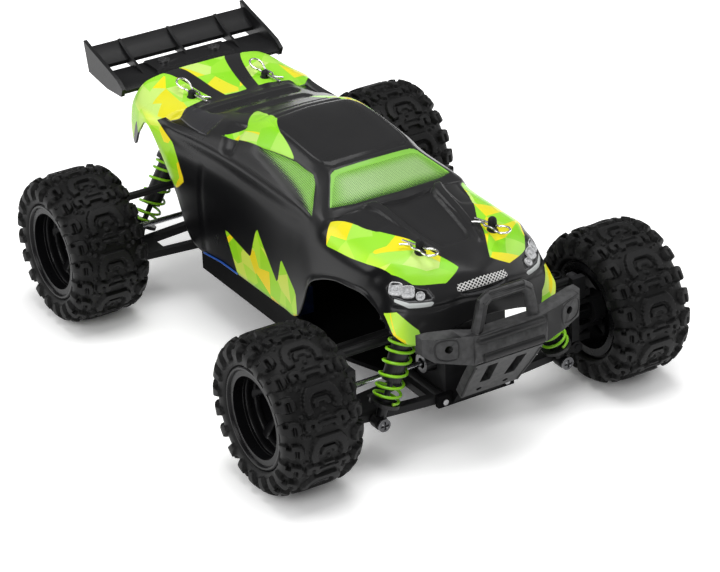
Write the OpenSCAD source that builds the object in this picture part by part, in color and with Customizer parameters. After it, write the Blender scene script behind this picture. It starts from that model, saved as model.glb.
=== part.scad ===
// Four wheel drive electric monster truck, about one to sixteen in scale.
// Front is -Y, the driver's left is +X, up is +Z, millimetres.
// The origin is on the ground, under the middle of the truck's box.

/* [Layout] */
// Distance between the front and the rear axle
wheelbase = 216; // [190:1:250]
// From a kingpin out to the middle of its tyre
wheel_out = 23.5; // [22:0.5:28]
// From the front axle forward to the bumper's front edge
front_overhang = 52; // [48:1:60]
// From the rear axle back to the tips of the wing
rear_overhang = 76; // [70:1:86]

/* [Wheels] */
// Outer diameter of a tyre over its tread blocks
tyre_d = 80; // [76:1:90]
// Width of a tyre
tyre_w = 42; // [38:1:46]
// Height of the tread blocks
lug_h = 3.6; // [2:0.2:4.4]
// Tread blocks round each row
lug_count = 18; // [12:2:24]
// Diameter of the rim where the tyre sits on it
rim_d = 46; // [44:1:50]
// Wall of the rim's barrel
rim_wall = 2.2; // [1.6:0.2:3]
// Spokes of a rim
spoke_count = 6; // [5:1:8]
// Diameter of a stub axle
axle_d = 6; // [5:0.5:6.5]
// Width across the corners of the wheel hex
hex_d = 13; // [11:0.5:14]

/* [Suspension] */
// From the truck's middle to the inner pin of a lower arm
arm_pivot_x = 18; // [17:0.5:22]
// Length of a lower arm from pin to pin, and of an upper link and a tie rod
arm_l = 48; // [46:0.5:50]
// Height of the lower arm's pins above the ground
arm_z = 26; // [25:0.5:28]
// Thickness of a lower arm
arm_t = 4; // [3:0.5:5]
// Height of the upper link above the lower arm
link_rise = 33; // [32:0.5:34]
// How far the upper link sits further out than the lower arm
link_out = 4; // [2:0.5:5]
// From the lower arm's outer pin to the kingpin
kingpin_out = 6; // [5:0.5:7]
// Diameter of the hinge pins and studs
pin_d = 3; // [2:0.2:3.4]

/* [Shocks] */
// How far the shocks stand before the front axle and behind the rear one
shock_y = 14; // [13:0.5:16]
// Lower shock eye from the truck's middle, front
front_eye_x = 53.5; // [48:0.5:56]
// Lower shock eye from the truck's middle, rear
rear_eye_x = 57.5; // [50:0.5:58]
// Upper shock eye from the truck's middle, front
front_top_x = 32; // [29:0.5:34]
// Upper shock eye from the truck's middle, rear
rear_top_x = 26; // [25:0.5:30]
// Upper shock eye above the ground, front
front_top_z = 82; // [79:0.5:83]
// Upper shock eye above the ground, rear
rear_top_z = 80; // [78:0.5:84]
// Outer diameter of a spring
spring_d = 14.2; // [13:0.2:15]
// Diameter of the spring wire
wire_d = 1.3; // [1:0.1:1.6]
// Curls of a spring
spring_curls = 6; // [4:0.5:7]
// Diameter of a shock's barrel
barrel_d = 10; // [9:0.2:10.4]
// Diameter of a shock's rod
rod_d = 3; // [2.4:0.2:3.4]

/* [Steering] */
// From the kingpin back to the tie rod's ball
steer_arm = 20; // [19:0.5:22]
// Diameter of the steering balls
ball_d = 4; // [3.4:0.2:4.4]
// Length of the servo's horn
horn_l = 16; // [14:0.5:18]

/* [Chassis] */
// Thickness of the chassis floor
floor_t = 2.5; // [2:0.1:2.6]
// Half of the chassis width between the wheels
tub_half_w = 42.5; // [40:0.5:43]
// Height of the chassis side walls
wall_h = 13.5; // [8:0.5:15]
// Half of a gearbox case's width
case_half_w = 14.5; // [14:0.5:15]
// Height of a gearbox case
case_h = 28; // [27:0.5:28.5]
// Thickness of a shock tower
tower_t = 3; // [2.4:0.2:3.2]
// Diameter of the body posts
post_d = 4.4; // [4.2:0.2:6]

/* [Drive train] */
// Size of the gear teeth, as pitch diameter for each tooth
tooth_module = 0.8; // [0.6:0.05:0.8]
// Teeth of the motor's pinion
pinion_teeth = 10; // [9:1:12]
// Teeth of the spur gear
spur_teeth = 32; // [30:1:32]
// Diameter of the motor's can
motor_d = 24; // [20:0.5:24]
// Length of the motor's can
motor_l = 38; // [30:1:42]
// Diameter of the centre drive shaft
shaft_d = 5; // [4:0.5:5]
// Diameter of a drive cup
cup_d = 10; // [9.4:0.2:10]
// Diameter of a drive shaft's ball ends
dog_ball_d = 4.8; // [4:0.2:5]

/* [Body shell] */
// Thickness of the shell
shell_t = 1.2; // [0.8:0.1:1.4]
// Half of the shell's width at the doors
shell_half_w = 48; // [47:0.5:49]
// Height of the roof above the ground
roof_z = 124.5; // [122:0.5:130]
// Top of the front body posts above the ground
front_post_z = 109.2; // [108:0.2:112]
// Top of the rear body posts above the ground
rear_post_z = 108.4; // [107.6:0.2:112]
// Front body posts from the truck's middle
front_post_x = 20.7; // [19:0.1:22]
// Rear body posts from the truck's middle
rear_post_x = 22.5; // [21:0.1:24]
// Diameter of the clip wire
clip_d = 1.2; // [1:0.1:1.4]

/* [Bumper] */
// Half of the bumper's width
bumper_half_w = 45; // [42:0.5:47]
// Diameter of the two holes in the bumper's ends
bumper_hole_d = 4; // [3:0.2:5]
// From the truck's middle to a bumper hole
bumper_hole_x = 34.3; // [32:0.1:36]
// Diameter of the hoop's tube
hoop_d = 5.8; // [4:0.2:6.4]

/* [Rear wing] */
// Half of the wing's width
wing_half_w = 50; // [46:0.5:56]
// Thickness of the wing's planes
wing_t = 2.2; // [1.6:0.1:2.6]
// From the truck's middle to a wing screw
wing_screw_x = 15.5; // [14:0.5:18]
// Height of the wing's underside above the ground
wing_z = 103.5; // [102:0.5:106]

/* [Fits] */
// Gap round a pin that turns in its bore
pin_gap = 0.05; // [0.03:0.01:0.08]
// Gap round a pin, a screw or the motor in a seat that holds it still
seat_gap = 0.12; // [0.1:0.01:0.2]
// Gap between faces of pieces that move past each other
face_gap = 0.4; // [0.3:0.05:0.6]
// Gap round a shock rod in its barrel
rod_gap = 0.45; // [0.4:0.05:0.6]
// Gap round a drive shaft's ball in its cup
cup_gap = 0.35; // [0.3:0.05:0.5]

/* [Hidden] */
$fn = 48;
CORNERS = ["fl", "fr", "rl", "rr"];
CORNER_PARTS = ["lower_arm", "upper_link", "hub_carrier", "shock_body", "shock_rod", "spring",
                "tyre", "rim", "drive_shaft"];
FRONT_PARTS = ["knuckle", "tie_rod"];

// Frame of the truck
overall_l = wheelbase + front_overhang + rear_overhang;
front_y = front_overhang - overall_l / 2;
rear_y = front_y + wheelbase;
axle_z = tyre_d / 2;
arm_end_x = arm_pivot_x + arm_l;
kingpin_x = arm_end_x + kingpin_out;
wheel_x = kingpin_x + wheel_out;
link_z = arm_z + link_rise;
link_in_x = arm_pivot_x + link_out;
link_end_x = link_in_x + arm_l;

// Radii of pins, bores and barrels
pin_r = pin_d / 2;
bore_r = pin_r + pin_gap;
barrel_r = pin_r + 1.7;
axle_r = axle_d / 2;
cup_r = cup_d / 2;
dog_r = dog_ball_d / 2;
cup_bore_r = dog_r + cup_gap;

// Lower arm, hub carrier and knuckle
arm_half_y = 14.8;
ear_y = 9.5;
ear_in_y = 5.9;
carrier_half_y = ear_in_y - 0.3;
web_half_y = 9.5;
lug_y = [-6, -2.3];
ring_w = 4;
ring_r = pin_r + 1.9;
hub_in_x = kingpin_x + 6.5;
hub_w = 6.5;
hub_r = axle_r + 4.5;
boss_r = 4;
cup_mouth = 1.5;
cup_len = 7.3;
plate_t = 3.5;
knuckle_h = 2 * (cup_r + 0.8 + 4.4);
steer_z = axle_z + knuckle_h / 2 - 5;
steer_t = 3;
tie_drop = 3.2;
tie_z = steer_z + steer_t + tie_drop;
steer_slack = 1;
rack_y = steer_arm - 0.85;

// Shock, measured along its own axis from the lower eye
eye_z = arm_z - 1;
eye_w = 5;
eye_r = pin_r + 2.1;
seat_at = 9;
seat_t = 1.8;
collar_drop = 16;
collar_t = 2.6;
barrel_at = 22;
cap_drop = 5;
seat_r = spring_d / 2 + 0.5;

// Floor, walls and towers
floor_z = arm_z - floor_t;
case_z = floor_z + floor_t;
case_top = case_z + case_h;
case_half_y = 13;
tower_y = -7.3;
block_t = 3;
block_y = arm_half_y + face_gap;

// Gears
mesh_gap = 0.15;
pinion_r = tooth_module * pinion_teeth / 2;
spur_r = tooth_module * spur_teeth / 2;
mesh_d = pinion_r + spur_r + mesh_gap;
mesh_angle = 20;
motor_x = mesh_d * cos(mesh_angle);
motor_z = axle_z + mesh_d * sin(mesh_angle);
gear_back = 44;
gear_y = rear_y - gear_back;
gear_w = 4;
motor_y = gear_y - 2 - motor_l;

// Helpers for corners and round pieces
function is_front(c) = c[0] == "f";
function axle_y(c) = is_front(c) ? front_y : rear_y;
function eye_x(front) = front ? front_eye_x : rear_eye_x;
function top_x(front) = front ? front_top_x : rear_top_x;
function top_z(front) = front ? front_top_z : rear_top_z;
function shock_run(front) = eye_x(front) - top_x(front);
function shock_rise(front) = top_z(front) - eye_z;
function shock_l(front) = norm([shock_run(front), shock_rise(front)]);
function shock_tilt(front) = atan2(shock_run(front), shock_rise(front));

// A corner is drawn as the left front one, with its shock before the axle
module at_corner(c) {
    translate([0, axle_y(c), 0])
        mirror([c[1] == "l" ? 0 : 1, 0, 0])
            mirror([0, is_front(c) ? 0 : 1, 0])
                children();
}

// An axle's pieces are drawn as the front one
module at_axle(front) {
    translate([0, front ? front_y : rear_y, 0])
        mirror([0, front ? 0 : 1, 0])
            children();
}

module both_sides() {
    children();
    mirror([1, 0, 0]) children();
}

module bar_x(r, x0, x1, y = 0, z = 0) {
    translate([x0, y, z]) rotate([0, 90, 0]) cylinder(r = r, h = x1 - x0);
}

module bar_y(r, y0, y1, x = 0, z = 0) {
    translate([x, y0, z]) rotate([-90, 0, 0]) cylinder(r = r, h = y1 - y0);
}

module bar_z(r, z0, z1, x = 0, y = 0) {
    translate([x, y, z0]) cylinder(r = r, h = z1 - z0);
}

module block(x, y, z) {
    translate([x[0], y[0], z[0]]) cube([x[1] - x[0], y[1] - y[0], z[1] - z[0]]);
}

// Wheels: axis along X, drawn round the wheel's middle
tyre_r = tyre_d / 2;
rim_r = rim_d / 2;
carcass_r = tyre_r - lug_h;
carcass_wall = 3.2;
bead_half_w = tyre_w / 2 - 4.5;
lug_rows = [-1, 0, 1];
row_w = tyre_w * 0.29;
row_step = tyre_w * 0.325;
shoulder_drop = 1;
rim_half_w = bead_half_w + 0.05;
bead_h = 2.2;
disc_in = wheel_x - (hub_in_x + hub_w + 1.6 + 5);
disc_t = 3;

function lug_ring(r_base, r_tip, count, phase) =
    let (step = 360 / count)
    [for (i = [0:count - 1])
        for (p = [[-0.36, 0], [-0.24, 1], [0, 1], [0.24, 1], [0.36, 0]])
            let (a = step * (i + p[0]) + phase)
            let (r = p[1] == 0 ? r_base : r_tip)
            [r * cos(a), r * sin(a)]];

module tread_row(row) {
    tip = tyre_r - (row == 0 ? 0 : shoulder_drop);
    phase = row == 0 ? 0 : 180 / lug_count;
    difference() {
        linear_extrude(height = row_w, center = true)
            polygon(lug_ring(carcass_r - 0.6, tip, lug_count, phase));
        cylinder(r = carcass_r - carcass_wall / 2, h = row_w + 2, center = true);
    }
}

module tyre() {
    shoulder = tyre_w / 2;
    inner = shoulder - carcass_wall;
    mid_r = (rim_r + carcass_r) / 2 + 1;
    color("#1b1b1c")
        rotate([0, 90, 0]) {
            rotate_extrude()
                polygon([[rim_r, -bead_half_w], [rim_r + bead_h, -bead_half_w],
                         [rim_r + 2 * bead_h, -bead_half_w - 2.5], [mid_r, -shoulder],
                         [carcass_r - 1.5, -shoulder + 0.6], [carcass_r, -shoulder + 3],
                         [carcass_r, shoulder - 3], [carcass_r - 1.5, shoulder - 0.6],
                         [mid_r, shoulder], [rim_r + 2 * bead_h, bead_half_w + 2.5],
                         [rim_r + bead_h, bead_half_w], [rim_r, bead_half_w],
                         [rim_r, bead_half_w - 3], [rim_r + 3, bead_half_w - 2.5],
                         [mid_r, inner], [carcass_r - carcass_wall, inner - 1.5],
                         [carcass_r - carcass_wall, 1.5 - inner], [mid_r, -inner],
                         [rim_r + 3, 2.5 - bead_half_w], [rim_r, 3 - bead_half_w]]);
            for (row = lug_rows)
                translate([0, 0, row * row_step]) tread_row(row);
        }
}

// The rim carries its stub axle, hex and nut as separate solids in the same node
module rim() {
    barrel_in = rim_r - rim_wall;
    flange_r = rim_r + 1.6;
    hub_out_r = hex_d / 2 + 2.5;
    window_in = hub_out_r + 0.5;
    window_out = barrel_in - 1.2;
    disc_x = -disc_in;
    window_arc = 360 / spoke_count;
    difference() {
        color("#202122")
            union() {
                rotate([0, 90, 0])
                    rotate_extrude()
                        polygon([[barrel_in, -rim_half_w - 1.5], [flange_r, -rim_half_w - 1.5],
                                 [flange_r, -rim_half_w], [rim_r - 0.05, -rim_half_w],
                                 [rim_r - 0.05, rim_half_w], [flange_r, rim_half_w],
                                 [flange_r, rim_half_w + 1.5], [barrel_in, rim_half_w + 1.5]]);
                bar_x(barrel_in + 0.5, disc_x, disc_x + disc_t);
                bar_x(hub_out_r, disc_x, disc_x + disc_t + 3);
            }
        bar_x(axle_r + pin_gap, disc_x - 1, disc_x + disc_t + 8);
        for (i = [0:spoke_count - 1])
            rotate([window_arc * (i + 0.5), 0, 0])
                translate([disc_x - 1, 0, 0])
                    rotate([0, 90, 0])
                        linear_extrude(height = disc_t + 2)
                            polygon([[window_in, -window_in * 0.24], [window_out, -window_out * 0.4],
                                     [window_out, window_out * 0.4], [window_in, window_in * 0.24]]);
    }
    color("#b9bcc0") stub_axle(disc_x);
}

// Cup round the drive shaft's ball, shaft through the hub, hex behind the disc and nut before it
module stub_axle(disc_x) {
    ball_x = kingpin_x - wheel_x;
    cup_x = ball_x - cup_mouth;
    nut_x = disc_x + disc_t + 3;
    difference() {
        union() {
            bar_x(cup_r, cup_x, cup_x + cup_len);
            bar_x(axle_r, cup_x, nut_x + 5);
            translate([disc_x - 5, 0, 0])
                rotate([0, 90, 0])
                    cylinder(d = hex_d, h = 5, $fn = 6);
            translate([nut_x, 0, 0])
                rotate([0, 90, 0])
                    cylinder(d = hex_d - 3, h = 4, $fn = 6);
        }
        bar_x(cup_bore_r, cup_x - 1, ball_x + dog_r + face_gap);
    }
}

module at_wheel(c) {
    at_corner(c) translate([wheel_x, 0, axle_z]) children();
}

// Lower arm between its inner pin and the hub carrier's pin, with the stud for the shock
module lower_arm(front) {
    ex = eye_x(front);
    plate_end = arm_end_x - barrel_r - 0.4;
    rib_w = 2.6;
    stud_end = shock_y + eye_w / 2 + 0.4;
    color("#222325")
        difference() {
            union() {
                bar_y(barrel_r, -arm_half_y, arm_half_y, arm_pivot_x, arm_z);
                translate([0, 0, arm_z - arm_t / 2])
                    linear_extrude(height = arm_t)
                        polygon([[arm_pivot_x, -arm_half_y], [ex, -shock_y + 3.2], [plate_end, -ear_y],
                                 [plate_end, ear_y], [ex, ear_y + 0.5], [arm_pivot_x, arm_half_y]]);
                for (side = [-1, 1])
                    translate([0, side * (ear_y + ear_in_y) / 2, arm_z]) {
                        bar_y(barrel_r, -(ear_y - ear_in_y) / 2, (ear_y - ear_in_y) / 2, arm_end_x);
                        block([plate_end - 3, arm_end_x], [-(ear_y - ear_in_y) / 2, (ear_y - ear_in_y) / 2],
                              [-arm_t / 2, arm_t / 2]);
                    }
                bar_y(pin_r, -stud_end, -shock_y + 4, ex, eye_z);
                bar_y(barrel_r, -shock_y + eye_w / 2 + 0.4, -shock_y + 4, ex, eye_z);
                bar_y(pin_r + 1.3, -stud_end - 1.6, -stud_end, ex, eye_z);
            }
            bar_y(bore_r, -arm_half_y - 1, arm_half_y + 1, arm_pivot_x, arm_z);
            bar_y(bore_r, -ear_y - 1, ear_y + 1, arm_end_x, arm_z);
            translate([0, 0, arm_z - arm_t])
                linear_extrude(height = 2 * arm_t)
                    polygon([[arm_pivot_x + barrel_r + rib_w, -arm_half_y + 2 * rib_w],
                             [ex - barrel_r - rib_w, -shock_y + 3.2 + 1.6 * rib_w],
                             [ex - barrel_r - rib_w, ear_y - rib_w],
                             [arm_pivot_x + barrel_r + rib_w, arm_half_y - 2 * rib_w]]);
        }
}

// Camber link with a ring at each end
module upper_link() {
    color("#222325")
        difference() {
            union() {
                bar_x(2.1, link_in_x, link_end_x, 0, link_z);
                for (x = [link_in_x, link_end_x])
                    bar_y(ring_r, -ring_w / 2, ring_w / 2, x, link_z);
            }
            for (x = [link_in_x, link_end_x])
                bar_y(bore_r, -ring_w, ring_w, x, link_z);
        }
}

// Stud for the outer end of the upper link, on a lug of the hub carrier
module link_lug(z0) {
    block([link_end_x - 4, link_end_x + ring_r], lug_y, [z0, link_z + ring_r]);
    bar_y(pin_r, lug_y[0], ring_w / 2 + 0.2, link_end_x, link_z);
}

// Barrel that turns on the lower arm's ears, with its own hinge pin
module carrier_barrel() {
    bar_y(barrel_r, -carrier_half_y, carrier_half_y, arm_end_x, arm_z);
    bar_y(pin_r, -ear_y - 0.6, ear_y + 0.6, arm_end_x, arm_z);
}

// Front hub carrier: a C whose two jaws hold the kingpins
module c_hub() {
    jaw_top = axle_z + knuckle_h / 2 + 0.3;
    jaw_low = axle_z - knuckle_h / 2 - 0.3;
    web_x = arm_end_x - 3.2;
    ear_top = arm_z + barrel_r + face_gap;
    window = cup_r + 2.6;
    color("#242527")
        difference() {
            union() {
                block([web_x, web_x + 4.5], [-web_half_y, web_half_y], [ear_top, jaw_top + plate_t]);
                block([web_x, web_x + 4.5], [-carrier_half_y, carrier_half_y],
                      [jaw_low - plate_t, ear_top + 1]);
                block([web_x, kingpin_x + 5], [-5, 5], [jaw_top, jaw_top + plate_t]);
                block([web_x, kingpin_x + 5], [-5, 5], [jaw_low - plate_t, jaw_low]);
                block([arm_end_x - barrel_r, arm_end_x + barrel_r], [-carrier_half_y, carrier_half_y],
                      [arm_z, jaw_low]);
                carrier_barrel();
                bar_z(pin_r, jaw_top - 4.2, jaw_top + plate_t + 1, kingpin_x);
                bar_z(pin_r, jaw_low - plate_t, jaw_low + 4.2, kingpin_x);
                link_lug(jaw_top);
            }
            block([web_x - 1, web_x + 5], [-window, window], [axle_z - cup_r - 2, axle_z + cup_r + 2]);
            block([web_x - 1, web_x + 5], [0, web_half_y + 1], [steer_z - 1, steer_z + steer_t + 1]);
        }
}

// Housing that the stub axle turns in, with a jaw above and below the drive cup
module hub_housing(jaw_x) {
    jaw_h = (knuckle_h / 2 - cup_r - 0.8);
    difference() {
        union() {
            bar_x(hub_r, hub_in_x, hub_in_x + hub_w, 0, axle_z);
            for (side = [0, 1])
                translate([0, 0, axle_z])
                    mirror([0, 0, side])
                        block([jaw_x, hub_in_x + hub_w], [-4, 4], [cup_r + 0.8, cup_r + 0.8 + jaw_h * 0.6]);
        }
        bar_x(axle_r + pin_gap, hub_in_x - 1, hub_in_x + hub_w + 1, 0, axle_z);
    }
}

// Rear hub carrier: the housing and its jaws reach in to both hinge points
module rear_carrier() {
    jaw_z = cup_r + 0.8;
    color("#242527") {
        hub_housing(arm_end_x - 2);
        carrier_barrel();
        block([arm_end_x - barrel_r, arm_end_x + barrel_r], [-carrier_half_y, carrier_half_y],
              [arm_z, axle_z - jaw_z]);
        block([link_end_x - 4, link_end_x + ring_r], [-5, 4], [axle_z + jaw_z, axle_z + jaw_z + plate_t]);
        link_lug(axle_z + jaw_z);
    }
}

module hub_carrier(front) {
    if (front) {
        c_hub();
    } else {
        rear_carrier();
    }
}

// Steering knuckle: turns on the kingpins, carries the hub and the tie rod's ball
module knuckle() {
    low = axle_z - knuckle_h / 2;
    top = axle_z + knuckle_h / 2;
    color("#242527")
        difference() {
            union() {
                hub_housing(kingpin_x);
                bar_z(boss_r, axle_z + cup_r + 0.8, top, kingpin_x);
                bar_z(boss_r, low, axle_z - cup_r - 0.8, kingpin_x);
                block([kingpin_x - 2.5, kingpin_x + 2.5], [2, steer_arm], [steer_z, steer_z + steer_t]);
                bar_z(2.8, steer_z, steer_z + steer_t, kingpin_x, steer_arm);
                bar_z(ball_d / 4, steer_z, tie_z, kingpin_x, steer_arm);
                translate([kingpin_x, steer_arm, tie_z]) sphere(d = ball_d);
            }
            bar_z(bore_r, low - 1, axle_z - cup_r, kingpin_x);
            bar_z(bore_r, axle_z + cup_r, top + 1, kingpin_x);
        }
}

// Steering tie rod from the rack's ball to the knuckle's ball
module tie_rod() {
    in_x = kingpin_x - arm_l;
    in_r = ball_d / 2 + 0.15;
    out_r = ball_d / 2 + steer_slack;
    color("#222325")
        difference() {
            union() {
                bar_x(1.7, in_x, kingpin_x, rack_y, tie_z);
                bar_z(in_r + 1.5, tie_z - 1.8, tie_z + 1.8, in_x, rack_y);
                bar_z(out_r + 1.4, tie_z - 1.8, tie_z + 1.8, kingpin_x, rack_y);
            }
            bar_z(in_r, tie_z - 3, tie_z + 3, in_x, rack_y);
            bar_z(out_r, tie_z - 3, tie_z + 3, kingpin_x, rack_y);
        }
}

// Sliding steering rack with a ball for each tie rod and a slot for the servo horn's pin
rack_half_y = 2.5;
rack_t = 2.8;
rack_z = tie_z - tie_drop - rack_t;
horn_x = 14;
horn_pin_r = 1.4;
horn_y = rack_y + 3 + horn_l;
horn_z = rack_z + rack_t + 0.3;
horn_t = 3;
module steering_rack() {
    in_x = kingpin_x - arm_l;
    slot_r = horn_pin_r + 0.3;
    color("#2a2b2d")
        difference() {
            union() {
                block([-in_x - 2.5, in_x + 2.5], [rack_y - rack_half_y, rack_y + rack_half_y],
                      [rack_z, rack_z + rack_t]);
                block([horn_x - 4, horn_x + 4], [rack_y, rack_y + 9], [rack_z, rack_z + rack_t]);
                for (x = [-in_x, in_x]) {
                    bar_z(ball_d / 4, rack_z, tie_z, x, rack_y);
                    translate([x, rack_y, tie_z]) sphere(d = ball_d);
                }
            }
            block([horn_x - slot_r, horn_x + slot_r], [rack_y + 3 - slot_r, rack_y + 3 + slot_r + 2.6],
                  [rack_z - 1, rack_z + rack_t + 1]);
        }
}

module servo_horn() {
    color("#dcdcd8") {
        bar_z(4, horn_z, horn_z + horn_t, horn_x, horn_y);
        block([horn_x - 2.2, horn_x + 2.2], [horn_y - horn_l, horn_y], [horn_z, horn_z + horn_t]);
        bar_z(horn_pin_r + 0.9, horn_z, horn_z + horn_t, horn_x, horn_y - horn_l);
        bar_z(horn_pin_r, rack_z + 0.2, horn_z + horn_t, horn_x, horn_y - horn_l);
    }
}

// Shock pieces are drawn along their own axis, up from the lower eye
module at_shock(front) {
    translate([eye_x(front), -shock_y, eye_z])
        rotate([0, -shock_tilt(front), 0])
            children();
}

module shock_eye(z) {
    translate([0, 0, z]) bar_y(eye_r, -eye_w / 2, eye_w / 2);
}

module eye_bore(z) {
    translate([0, 0, z]) bar_y(bore_r, -eye_w, eye_w);
}

module shock_rod(front) {
    rod_top = barrel_at + 12;
    color("#1f2022") at_shock(front)
        difference() {
            union() {
                shock_eye(0);
                bar_z(2.6, 0, seat_at);
                bar_z(seat_r, seat_at, seat_at + seat_t);
                bar_z(barrel_d / 2 - 1, seat_at + seat_t, seat_at + seat_t + 1.6);
                bar_z(rod_d / 2, seat_at, rod_top);
            }
            eye_bore(0);
        }
}

module shock_body(front) {
    l = shock_l(front);
    color("#1f2022") at_shock(front)
        difference() {
            union() {
                shock_eye(l);
                bar_z(2.6, l - cap_drop, l);
                bar_z(barrel_d / 2 + 0.8, l - cap_drop - 4, l - cap_drop);
                bar_z(barrel_d / 2, barrel_at, l - cap_drop - 4);
                bar_z(seat_r, l - collar_drop, l - collar_drop + collar_t);
            }
            eye_bore(l);
            bar_z(rod_d / 2 + rod_gap, barrel_at - 1, l - cap_drop - 4);
        }
}

// Coil spring: one unbroken tube wound between the lower seat and the upper collar
spring_rings = 8;
spring_sides = 6;
function spring_bottom() = seat_at + seat_t + wire_d / 2 + 0.1;
function spring_height(front) = shock_l(front) - collar_drop - wire_d / 2 - 0.1 - spring_bottom();
function coil_r() = (spring_d - wire_d) / 2;
function coil_point(front, i) =
    let (n = spring_curls * spring_rings, a = 360 * i / spring_rings)
    [coil_r() * cos(a), coil_r() * sin(a), spring_bottom() + spring_height(front) * i / n];
function coil_ring(front, i) =
    let (a = 360 * i / spring_rings, c = coil_point(front, i))
    [for (s = [0:spring_sides - 1])
        let (b = 360 * s / spring_sides)
        c + wire_d / 2 * [cos(b) * cos(a), cos(b) * sin(a), sin(b)]];

// Least gap between turns: ring middles at least half a curl apart, less the wire
function coil_gap(front) =
    let (n = spring_curls * spring_rings)
    min([for (i = [0:n]) for (j = [i + spring_rings / 2:n])
        norm(coil_point(front, j) - coil_point(front, i)) - wire_d]);
echo(least_gap_front_spring = coil_gap(true), least_gap_rear_spring = coil_gap(false));

module spring(front) {
    n = spring_curls * spring_rings;
    m = spring_sides;
    points = [for (i = [0:n]) each coil_ring(front, i)];
    walls = [for (i = [0:n - 1]) for (s = [0:m - 1])
        let (a = i * m + s, b = i * m + (s + 1) % m)
        each [[a, a + m, b], [b, a + m, b + m]]];
    first = [for (s = [1:m - 2]) [0, s, s + 1]];
    last = [for (s = [1:m - 2]) [n * m, n * m + s + 1, n * m + s]];
    color("#7fd41a") at_shock(front) polyhedron(points, concat(walls, first, last));
}

// Drive shaft with a ball at each end, inside the diff's cup and the stub axle's cup
diff_cup_x = case_half_w + 5.5;
dog_in_x = diff_cup_x - 4;
dog_room = 0.8;
dog_rod_r = 1.5;
module drive_shaft() {
    color("#c3c6c9") {
        bar_x(dog_rod_r, dog_in_x, kingpin_x, 0, axle_z);
        for (x = [dog_in_x, kingpin_x])
            translate([x, 0, axle_z]) sphere(r = dog_r);
    }
}

// Gearbox case with room for its diff, bores for the cups and the shaft, studs for the links
diff_r = 9.5;
diff_half_w = 8;
module gearbox() {
    room_r = diff_r + 1.2;
    color("#1d1e20")
        difference() {
            union() {
                block([-case_half_w, case_half_w], [-case_half_y, case_half_y], [case_z, case_top]);
                both_sides() {
                    block([case_half_w - 1, link_in_x + ring_r], lug_y, [case_top - 5, link_z + ring_r]);
                    bar_y(pin_r, lug_y[0], ring_w / 2 + 0.2, link_in_x, link_z);
                }
            }
            bar_x(room_r, -diff_half_w - 1.5, diff_half_w + 1.5, 0, axle_z);
            bar_x(cup_r + 0.3, -case_half_w - 1, case_half_w + 1, 0, axle_z);
            bar_y(shaft_d / 2 + 0.08, 0, case_half_y + 1, 0, axle_z);
        }
}

module diff() {
    color("#8b8d90")
        difference() {
            union() {
                bar_x(diff_r, -diff_half_w, diff_half_w, 0, axle_z);
                bar_x(cup_r, -diff_cup_x, diff_cup_x, 0, axle_z);
            }
            both_sides() bar_x(cup_bore_r, dog_in_x - dog_r - dog_room, diff_cup_x + 1, 0, axle_z);
        }
}

// Spur gear and pinion teeth are trapezoids with some backlash
function gear_outline(teeth) =
    let (r = tooth_module * teeth / 2, step = 360 / teeth)
    [for (i = [0:teeth - 1])
        for (p = [[-0.3, -1.1], [-0.19, 0], [-0.09, 0.75], [0.09, 0.75], [0.19, 0], [0.3, -1.1]])
            let (a = step * (i + p[0]))
            (r + p[1] * tooth_module) * [cos(a), sin(a)]];

module gear(teeth, phase) {
    rotate([90, 0, 0])
        rotate([0, 0, phase])
            linear_extrude(height = gear_w, center = true)
                polygon(gear_outline(teeth));
}

module centre_shaft() {
    end = diff_r + 0.7;
    color("#b5b8bb") {
        bar_y(shaft_d / 2, front_y + end, rear_y - end, 0, axle_z);
        translate([0, gear_y, axle_z]) gear(spur_teeth, mesh_angle + 180 / spur_teeth);
    }
}

// A tooth of the pinion faces a gap of the spur along the line between the two axes
module motor_pinion() {
    color("#d2b25a") {
        translate([motor_x, gear_y, motor_z]) gear(pinion_teeth, mesh_angle + 180);
        bar_y(1.2, gear_y - gear_w / 2 - 1.4, gear_y + gear_w / 2 + 1, motor_x, motor_z);
    }
}

module motor() {
    shaft_room = 1.5;
    color("#a9acb0")
        difference() {
            union() {
                bar_y(motor_d / 2, motor_y, motor_y + motor_l - 1, motor_x, motor_z);
                bar_y(4, motor_y - 2, motor_y + motor_l - 0.2, motor_x, motor_z);
            }
            bar_y(shaft_room, motor_y + motor_l - 3, motor_y + motor_l + 1, motor_x, motor_z);
        }
}

// Chassis: floor, side walls, hinge pin blocks, rack pedestals, motor cradle and nose ramp
nose_y = -24.8;
nose_rise = 11.1;
tail_y = 24;
waist_x = arm_pivot_x - barrel_r - face_gap - 0.3;
wall_t = 2;
rack_post_x = 9;
pod_front = 76;
pod_rear = -34;
module tub_floor() {
    half = [[waist_x + 1, front_y - block_y - block_t], [waist_x, front_y - arm_half_y],
            [waist_x, front_y + arm_half_y], [waist_x + 12, front_y + 28],
            [tub_half_w, front_y + pod_front], [tub_half_w, rear_y + pod_rear],
            [waist_x + 8, rear_y - 22], [waist_x, rear_y - arm_half_y],
            [waist_x, rear_y + arm_half_y], [waist_x + 1, rear_y + tail_y]];
    left = [for (p = half) [-p[0], p[1]]];
    translate([0, 0, floor_z])
        linear_extrude(height = floor_t)
            polygon(concat(half, [for (i = [len(left) - 1:-1:0]) left[i]]));
}

module pin_blocks(front) {
    at_axle(front)
        both_sides()
            for (y = [block_y, -block_y - block_t])
                block([waist_x - 1, arm_pivot_x + barrel_r + 0.8], [y, y + block_t],
                      [floor_z, arm_z + barrel_r + 0.8]);
}

module nose_ramp() {
    root = -block_y - block_t + 0.5;
    translate([-waist_x, front_y, 0])
        rotate([90, 0, 90])
            linear_extrude(height = 2 * waist_x)
                polygon([[root, floor_z], [root, floor_z + floor_t + 2],
                         [nose_y + 1, floor_z + nose_rise + 3], [nose_y - 1, floor_z + nose_rise]]);
}

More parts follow.
